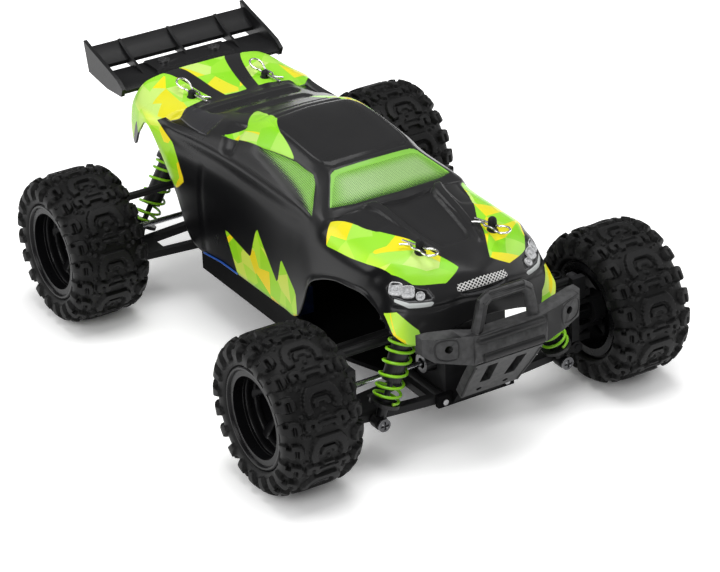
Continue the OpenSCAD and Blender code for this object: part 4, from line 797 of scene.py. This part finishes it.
# Tread in one repeat, in millimetres: corners (round, across from the middle), height, softness of the walls
TREAD_RAISED = [
    ([(1.2, -1), (1.2, 6.2), (4.6, 8.8), (10.2, 10.4), (14.8, 9.2), (14.2, 5.6), (10.4, 6.4), (7.2, 5.6),
      (5.4, 3.6), (5.2, -1)], 1.9, 0.3),
    ([(7.2, -1), (7.2, 3.2), (9.8, 4.6), (11.6, 4.4), (11.6, 2.4), (9.6, 1.8), (9.4, -1)], 1.2, 0.25),
    ([(16.2, -1), (16.2, 2.6), (17.4, 3.2), (17.2, 5.8), (16.2, 8.6), (17.4, 11.4), (20.6, 11.8),
      (22.8, 10.8), (22.0, 8.4), (23.4, 6.2), (23.0, 3.8), (21.4, 3.2), (21.2, -1)], 1.9, 0.3)]
TREAD_CUT = [
    ([(19.2, 7.4), (24.0, 6.8), (24.0, 8.0), (19.4, 8.6)], 0.3),
    ([(18.2, -1), (18.2, 4.6), (19.3, 4.9), (19.1, -1)], 0.8)]
# Shoulder lug, its two notches and where the two lugs of a repeat start
LUG = [(0.8, 14.2), (3.6, 13.0), (6.4, 13.2), (8.2, 15.0), (8.0, 18.6), (6.6, 20.4), (6.2, 25.0), (1.8, 25.8),
       (0.2, 21.6), (-0.2, 16.4)]
LUG_CUT = [([(3.0, 15.6), (9.0, 15.8), (9.0, 16.9), (3.0, 16.9)], 0.5),
           ([(-0.6, 18.4), (2.6, 18.8), (2.6, 20.0), (-0.6, 19.8)], 0.5)]
LUG_STARTS = (2.6, 15.2)
TREAD_PIPS = [(13.6, 0.0), (0.4, 9.8), (14.4, 11.8), (24.4, 12.6)]
# Turn of each tyre about its axle in degrees, for the tread's place in the photograph
TYRE_TURN = {"fl": 8.0, "fr": -7.5, "rl": -3.0, "rr": 19.5}


def tread_height(a, arc):
    """Height of the tread in millimetres; a counts repeats round the tyre, arc is the way across it.

    Each repeat has a horseshoe with an inner piece and a crown block in the middle, pips between them, and
    two hooked lugs with notches on each shoulder that run out on the side wall.
    """
    x = (a - np.floor(a)) * TREAD_PITCH + 0 * arc
    side = np.abs(arc) + 0 * a
    h = np.zeros(x.shape)

    def nearest(measure):
        """The least of a distance over the repeat and its two neighbours."""
        return np.min([measure(x + shift) for shift in (-TREAD_PITCH, 0, TREAD_PITCH)], 0)

    lug_top = 2.6 - 1.2 * ramp(side, LUG_RUN_OUT, WALL_START)
    raised = TREAD_RAISED + [(np.add(LUG, [start, 0]), lug_top, 0.35) for start in LUG_STARTS]
    for corners, top, soft in raised:
        d = nearest(lambda x: polygon_distance(x, side, corners))
        h = np.maximum(h, top * ramp(-d, -soft, soft))
    for corners, floor in TREAD_CUT + [(np.add(c, [s, 0]), f) for s in LUG_STARTS for c, f in LUG_CUT]:
        d = nearest(lambda x: polygon_distance(x, side, corners))
        h = np.minimum(h, np.maximum(floor, h - 3 * ramp(-d, -0.25, 0.25)))
    for px, pw in TREAD_PIPS:
        d = nearest(lambda x: np.hypot(x - px, side - pw) - 1.05)
        h = np.maximum(h, ramp(-d, -0.3, 0.3))
    return h


def make_tyre():
    """A tyre about the X axis: the carcass turned round, lifted along its normal by the tread, closed inside.

    Also gives each point's painted shade value: 0 on the blocks' tops, more on the floor, 1 on the blocks'
    walls.
    """
    profile = curve_through([(r, -w) for r, w in CARCASS[:0:-1]] + CARCASS, 6)
    t = np.gradient(profile, axis=0)
    normal = np.stack([t[:, 1], -t[:, 0]], -1)
    normal /= np.linalg.norm(normal, axis=1, keepdims=True)
    arc = np.concatenate([[0], np.cumsum(np.linalg.norm(np.diff(profile, axis=0), axis=1))])
    arc -= arc[len(arc) // 2]
    # Even steps across the tread, where the blocks are
    even = np.linspace(arc[0], arc[-1], TYRE_STEPS)
    profile, normal = (np.stack([np.interp(even, arc, p[:, k]) for k in (0, 1)], -1)
                       for p in (profile, normal))
    a = np.linspace(0, 1, TYRE_SIDES, endpoint=False)
    height = tread_height((a * TREAD_REPEATS)[None, :], even[:, None])
    round_step, across_step = 2 * np.pi * TREAD_R / TYRE_SIDES, even[1] - even[0]
    steep = np.hypot(np.gradient(height, across_step, axis=0),
                     (np.roll(height, -1, 1) - np.roll(height, 1, 1)) / (2 * round_step))
    spread = profile[:, None] + normal[:, None] * height[..., None]
    spread[..., 0] = np.minimum(spread[..., 0], TYRE_R / MM)
    spread = np.concatenate([spread, np.repeat(CARCASS_INSIDE[:, None], TYRE_SIDES, 1)])
    radius, across = spread[..., 0], spread[..., 1]
    # Painted shade: some on the tread floor between the blocks, most on their steep walls
    floor = ramp(0.9 - height, 0, 0.8) * ramp(WALL_START - np.abs(even), 0, 4)[:, None]
    painted_shade = np.concatenate([np.maximum(ramp(steep, 0.4, 2.2), 0.75 * floor), np.zeros((4, TYRE_SIDES))])
    turn = 2 * np.pi * a
    points = np.stack([across, radius * np.cos(turn), radius * np.sin(turn)], -1) * MM
    return points.reshape(-1, 3), grid_faces(len(radius), TYRE_SIDES, round_n=True, round_m=True), painted_shade


def make_rim_trim():
    """A rim's dress about the X axis: a rounded lip, two rings in the barrel, curved spokes and studs."""
    lip = [(25.6, 16.8), (25.9, 18.0), (25.8, 18.9), (25.2, 19.3), (24.4, 19.2), (23.7, 18.4), (23.0, 16.6),
           (21.4, 14.0), (20.7, 12.6), (21.6, 12.2), (23.0, 14.6), (25.6, 16.8)]
    ring = [(1.6, 0.8), (0.4, 0.7), (0, 0.2), (0, -1.2), (0.4, -1.8), (1.6, -2.0), (1.6, 0.8)]
    stud = [(0, 0.0009), (0.0009, 0.0009), (0.0012, 0.0005), (0.0013, -0.004), (0, -0.004)]
    turned = [(np.array(lip), 120), (np.add(ring, [20.3, 10.6]), 96), (np.add(ring, [19.6, 6.0]), 96)]
    parts = [moved(lathe(profile * MM, sides), (0, 0, 0), (1, 0, 0)) for profile, sides in turned]
    t = np.linspace(0, 1, 22)[:, None]
    b = np.linspace(0, 2 * np.pi, 20, endpoint=False)[None]
    for k in range(SPOKES):
        turn = 2 * np.pi * k / SPOKES
        # Flat oval sections that widen to the barrel, bent a little round the axle
        wide, thick = 1.5 + 1.6 * t ** 3, 1.5 - 0.4 * t
        r = 6.5 + 14.6 * t + 0 * b
        x = -0.6 + 7.4 * t ** 1.7 + thick * np.sin(b)
        off = turn + 0.16 * np.sin(np.pi * t) + wide * np.cos(b) / r
        oval = np.stack([x, r * np.cos(off), r * np.sin(off)], -1) * MM
        ends = [np.repeat(oval[e].mean(0)[None, None], b.size, 1) for e in (0, -1)]
        oval = np.concatenate([ends[0], oval, ends[1]])
        parts.append((oval, grid_faces(len(oval), b.size, round_m=True)[:, ::-1]))
        foot = np.array([2.0, 11.5 * np.cos(turn + 0.52), 11.5 * np.sin(turn + 0.52)]) * MM
        parts.append(moved(lathe(stud, 16), foot, (1, 0, 0)))
    return welded(joined(parts))


def place_wheel(corner, part, turn=0.0):
    """A wheel's part in its corner: mirrored on the truck's right side, turned about its axle, and moved."""
    points, faces = flipped(part) if corner[1] == "r" else part
    c, s = math.cos(math.radians(turn)), math.sin(math.radians(turn))
    middle = (WHEEL_X if corner[1] == "l" else -WHEEL_X, FRONT_Y if corner[0] == "f" else REAR_Y, AXLE_Z)
    return points @ np.array([[1, 0, 0], [0, c, s], [0, -s, c]]) + np.array(middle), faces


*TYRE, TYRE_PAINTED_SHADE = make_tyre()
RIM_TRIM = make_rim_trim()
for corner in CORNERS:
    mesh = make_mesh(f"tread_{corner}", *place_wheel(corner, TYRE, TYRE_TURN[corner]))
    mesh.attributes.new("painted_shade", "FLOAT", "POINT").data.foreach_set("value", TYRE_PAINTED_SHADE.ravel())
    add_piece(f"tread_{corner}", mesh, RUBBER, f"wheel_{corner}", "tyre_rubber", [f"tyre_{corner}"],
              crease=50)
for corner in CORNERS:
    mesh = make_mesh(f"rim_dress_{corner}", *place_wheel(corner, RIM_TRIM))
    add_piece(f"rim_dress_{corner}", mesh, RIM_BLACK, f"wheel_{corner}", "rim_plastic", crease=40)


# Softened copies of the CAD solids, and finishes of those that stay as they are

def soften(node, body, material, slot, width, crease=32):
    """A copy of a CAD node's mesh with its points merged and its sharp edges rounded, in the node's place."""
    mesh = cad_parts[node].data
    points = np.empty(len(mesh.vertices) * 3)
    mesh.vertices.foreach_get("co", points)
    corner = np.empty(len(mesh.loops), int)
    mesh.loops.foreach_get("vertex_index", corner)
    tris = corner.reshape(-1, 3)
    soft = make_mesh(node + "_soft", *welded((points, np.concatenate([tris, tris[:, 2:]], 1))))
    obj = add_piece(node + "_soft", soft, material, body, slot, [node], crease=crease)
    bevel = obj.modifiers.new("rounded", "BEVEL")
    bevel.width = width
    bevel.segments = 2
    bevel.limit_method = "ANGLE"
    bevel.angle_limit = math.radians(crease)


soften("front_bumper", "chassis", BUMPER_GREY, "black_nylon", 0.0007, crease=8)
soften("rear_wing", "chassis", WING_BLACK, "wing_plastic", 0.0005)
soften("chassis_tub", "chassis", TUB_SHADED_BLACK, "black_nylon", 0.0005)
for node, width in (("front_tower", 0.0004), ("rear_tower", 0.0004), ("front_gearbox", 0.0005),
                    ("rear_gearbox", 0.0005)):
    soften(node, "chassis", NYLON, "black_nylon", width)
FINISHES = {"battery": WRAP_BLUE, "receiver_box": CASE_BLACK, "motor": MOTOR_STEEL, "fasteners": DARK_STEEL,
            "steering_servo": CASE_BLACK, "motor_pinion": BRASS, "centre_shaft": STEEL,
            "front_diff": MOTOR_STEEL, "rear_diff": MOTOR_STEEL, "steering_rack": NYLON,
            "servo_horn": WHITE_NYLON}
for corner in CORNERS:
    soften(f"lower_arm_{corner}", f"arm_{corner}", NYLON, "black_nylon", 0.0005)
    soften(f"hub_carrier_{corner}", f"carrier_{corner}", NYLON, "black_nylon", 0.0004)
    soften(f"rim_{corner}", f"wheel_{corner}", RIM_BLACK, "rim_plastic", 0.0004)
    FINISHES |= {f"upper_link_{corner}": NYLON, f"shock_body_{corner}": SHOCK_BLACK,
                 f"shock_rod_{corner}": SHOCK_BLACK, f"drive_shaft_{corner}": STEEL}
    if corner[0] == "f":
        soften(f"knuckle_{corner}", f"knuckle_{corner}", NYLON, "black_nylon", 0.0004)
        FINISHES[f"tie_rod_{corner}"] = NYLON
for node, material in FINISHES.items():
    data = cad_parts[node].data
    data.materials.clear()
    data.materials.append(material)


# Springs

# Radius of the wire and of the coil; ends of the spring measured from the shock's lower eye and upper mount
SPRING_WIRE, SPRING_COIL, SPRING_TURNS = 0.00075, 0.00645, 6.5
SPRING_LOW, SPRING_TOP = 0.009 + 0.0018, 0.016


def shock_eye(corner):
    """Middle of a shock's lower eye, whether it is a front one, and 1 or -1 for the truck's left or right."""
    front, side = corner[0] == "f", 1 if corner[1] == "l" else -1
    y = FRONT_Y - SHOCK_OFF if front else REAR_Y + SHOCK_OFF
    return np.array([side * (0.0535 if front else 0.0575), y, 0.025]), front, side


def make_spring(corner):
    """A round wire wound about the shock's axis: a helix that rises slower in its first and last turn."""
    low, front, side = shock_eye(corner)
    top = np.array([side * (0.032 if front else 0.026), low[1], 0.082 if front else 0.080])
    length = np.linalg.norm(top - low)
    axis = (top - low) / length
    start, end = SPRING_LOW + SPRING_WIRE, length - SPRING_TOP - SPRING_WIRE
    t = np.linspace(0, 1, 260)
    rise = t - 0.055 * np.sin(2 * np.pi * t)
    a = 2 * np.pi * SPRING_TURNS * t
    u, v, w = frame_of(axis)
    path = (low + np.outer(start + (end - start) * rise, w)
            + SPRING_COIL * (np.outer(np.cos(a), u) + np.outer(np.sin(a), v)))
    mesh = make_mesh(f"coil_{corner}", *tube(path, SPRING_WIRE))
    obj = add_piece(f"coil_{corner}", mesh, SPRING_GREEN, f"shock_body_{corner}", "green_spring",
                    [f"spring_{corner}"])
    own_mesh(obj)


for corner in CORNERS:
    make_spring(corner)


# Small pieces on the shell

CLIP_PATH = [(-11, 0), (-6, 0), (-1, 0), (4.2, 0.1), (5.5, -0.9), (8.5, -1.6), (11.2, 0.2), (11.6, 3.0),
             (9.6, 5.4), (6.4, 5.2), (3.8, 3.9), (1.6, 3.5), (-1.8, 3.4), (-3.6, 2.2), (-5, 1.6), (-7, 2.4),
             (-9.4, 4.4)]
CLIP_WIRE = 0.6
# Height of the front and rear clips in millimetres, the way they point and how much the loop rises
CLIP_POSES = ((105.2, (0.30, -0.954, 0.0), 0.0), (106.0, (-0.30, 0.94, 0.15), 0.35))
# Lamps: row, column, radius in millimetres, and how square
LAMP_DISHES = ((1.86, 4.18, 3.3, 4.0), (1.74, 3.60, 3.1, 4.0), (1.56, 3.08, 2.2, 2.2))
# A lamp from the bulb to the back: share of the radius, height in millimetres
LAMP_BOWL = np.array([(0, 0.5), (0.22, 0.4), (0.34, -0.1), (0.6, -0.2), (0.84, 0.3), (0.9, 0.55), (1, 0.4),
                      (1.04, -0.8), (0, -0.9)])


def make_clips():
    """Four clips of bent wire: a straight leg through the post's hole, a round loop, a waved leg outside."""
    flat = curve_through(CLIP_PATH, 8)
    parts = []
    for (x, y), (z, ahead, lift) in zip(POST_HOLES, CLIP_POSES):
        d = np.array(ahead) / np.linalg.norm(ahead)
        across = np.cross(d, (0, 0, 1))
        across = across / np.linalg.norm(across)
        for side in (1, -1):
            path = np.array((side * x, y, z)) + np.outer(flat[:, 0], d) + np.outer(flat[:, 1], across)
            path[:, 2] += lift * np.maximum(flat[:, 0] - 3, 0)
            parts.append(tube(path * MM, CLIP_WIRE * MM))
    add_parts("clip_wires", parts, NICKEL, "chassis", "bright_steel", ["body_clips"])


def shell_frame(u, v):
    """A point of the bare shell and the outward unit normal there."""
    near = shell_point(np.array([u, u + 0.02]), np.array([v, v + 0.02]))
    out = np.cross(near[0, 1] - near[0, 0], near[1, 0] - near[0, 0])
    return near[0, 0], out / np.linalg.norm(out)


def make_lamps():
    """Lamps in the dark panels: squarish dishes with a raised bulb; the outline is |x|^n + |y|^n = r^n."""
    a = np.linspace(0, 2 * np.pi, 48, endpoint=False)
    faces = grid_faces(len(LAMP_BOWL), a.size, round_m=True)
    parts = []
    for u, v, r, power in LAMP_DISHES:
        outline = (np.abs(np.cos(a)) ** power + np.abs(np.sin(a)) ** power) ** (-1 / power)
        ring = LAMP_BOWL[:, :1] * r * outline
        dish = np.stack([ring * np.cos(a), ring * np.sin(a), LAMP_BOWL[:, 1:] + 0 * ring], -1) * MM
        for side in (1, -1):
            place, out = shell_frame(u, v * side)
            parts.append(moved((dish, faces), place - out * 0.0004, out))
    add_parts("lamp_reflectors", parts, LAMP_SILVER, "chassis", "painted_shell", crease=40)


def make_film_edge():
    """The blue edge of the lining film along the right sill: a thin strip along the shell's lower edge."""
    edge = shell_point(np.linspace(10.4, 11.6, 24), np.array([-SIDE + 0.02]))[:, 0]
    path = edge + np.array([-0.0004, 0, 0])
    add_parts("film_edge", [tube(path, 0.0005)], FILM_BLUE, "chassis", "battery_wrap")


# Small pieces on the bumper and the arms

SKID_LOW, SKID_LEAN, SKID_T, BEAM_LOW, NOSE_Y = 35.8, math.radians(35), 5.0, 61.0, FRONT_Y / MM - 25.4
# Bars along the beam: half length, taper, section (along, height), in millimetres
BEAM_BARS = (
    (20.4, 2.2, [(-169.0, 75.4), (-170.6, 75.2), (-171.6, 74.2), (-171.7, 72.6), (-170.2, 71.8)]),
    (18.6, 1.6, [(-170.6, 67.4), (-172.4, 67.0), (-173.2, 66.0), (-173.0, 63.6), (-171.4, 62.4),
                 (-169.4, 62.0)]))
END_FRAME = [(30.0, 67.6), (35.6, 67.4), (40.2, 70.0), (40.6, 76.6), (36.4, 78.4), (30.4, 77.0), (29.4, 72.0),
             (30.0, 67.6)]


def on_skid(x, up, out):
    """A place over the skid plate in millimetres: across the truck, up along the plate, out of its face."""
    along = np.array([0, -math.sin(SKID_LEAN), math.cos(SKID_LEAN)])
    face = np.array([0, -math.cos(SKID_LEAN), -math.sin(SKID_LEAN)])
    return np.array([x, NOSE_Y, SKID_LOW]) + along * up + face * (SKID_T + out)


def end_face(x, z):
    """A place on the swept end of the bumper beam, which falls back from its shoulder to its tip."""
    return np.array([x, np.interp(x, [29, 40.5, 45], [-169.4, -166.5, -161.5]), z])


def make_bumper_ribs():
    """Raised forms on the bumper: bars along the beam, frames round its end holes, ribs beside the skid."""
    skid_l = (BEAM_LOW - SKID_LOW) / math.cos(SKID_LEAN)
    parts = []
    for half, taper, section in BEAM_BARS:
        section = np.array(section)
        x = np.array([-half, -half + taper, half - taper, half])
        middle = section.mean(0) + [1.2, 0]
        yz = middle + (section - middle) * np.array([0.0, 1.0, 1.0, 0.0])[:, None, None]
        bar = np.concatenate([np.broadcast_to(x[:, None, None], yz.shape[:2] + (1,)), yz], -1)
        parts.append((bar * MM, grid_faces(4, len(section), round_m=True)))
    for side in (1, -1):
        around = [end_face(x, z) * [side, 1, 1] for x, z in END_FRAME]
        parts.append(tube(curve_through(around, 6) * MM, 0.55 * MM))
        edge = [on_skid(side * x, up, -0.3) for x, up in (
            (15.9, 0.6), (16.8, skid_l * 0.3), (17.9, skid_l * 0.6), (18.3, skid_l - 1))]
        parts.append(tube(curve_through(edge, 8) * MM, 0.8 * MM, 12))
    add_parts("bumper_ribs", parts, BUMPER_GREY, "chassis", "black_nylon", crease=50)


def screw_head(r, tall):
    """A pan head about Z: a low dome less a cross recess with arms about a quarter of the radius wide."""
    ring = np.array([0, 0.12, 0.2, 0.28, 0.36, 0.44, 0.52, 0.6, 0.68, 0.78, 0.9, 1.0, 1.0, 0.0])[:, None]
    a = np.linspace(0, 2 * np.pi, 64, endpoint=False)[None]
    x, y = ring * np.cos(a), ring * np.sin(a)
    wide, tip = 0.14, 0.62
    arm = np.minimum(np.maximum(np.abs(x) - wide, np.abs(y) - tip),
                     np.maximum(np.abs(y) - wide, np.abs(x) - tip))
    z = tall * (1 - 0.35 * ring ** 2) - 0.6 * tall * ramp(-arm, -0.03, 0.05)
    z[-2:] = 0
    return np.stack([x * r, y * r, z], -1), grid_faces(len(ring), a.size, round_m=True)


def make_screws():
    """Cross-head screws through the shocks' lower eyes, on the upper links' outer studs and on the wing."""
    for corner in CORNERS:
        eye, front, side = shock_eye(corner)
        face = -1 if front else 1
        head = moved(screw_head(0.0034, 0.0014), eye + [0, face * 0.0044, 0], (0, face, 0))
        add_parts(f"eye_screw_{corner}", [head], DARK_STEEL, f"arm_{corner}", "bright_steel", crease=40)
        stud = (side * 0.070, (FRONT_Y if front else REAR_Y) - face * 0.0023, 0.059)
        head = moved(screw_head(0.0026, 0.0012), stud, (0, -face, 0))
        add_parts(f"link_screw_{corner}", [head], DARK_STEEL, f"carrier_{corner}", "bright_steel", crease=40)
    heads = [moved(screw_head(0.0033, 0.0014), (x, REAR_Y + 0.0486, 0.1081)) for x in (0.0155, -0.0155)]
    add_parts("wing_screw_heads", heads, MOTOR_STEEL, "chassis", "bright_steel", crease=40)


make_clips()
make_lamps()
make_film_edge()
make_bumper_ribs()
make_screws()
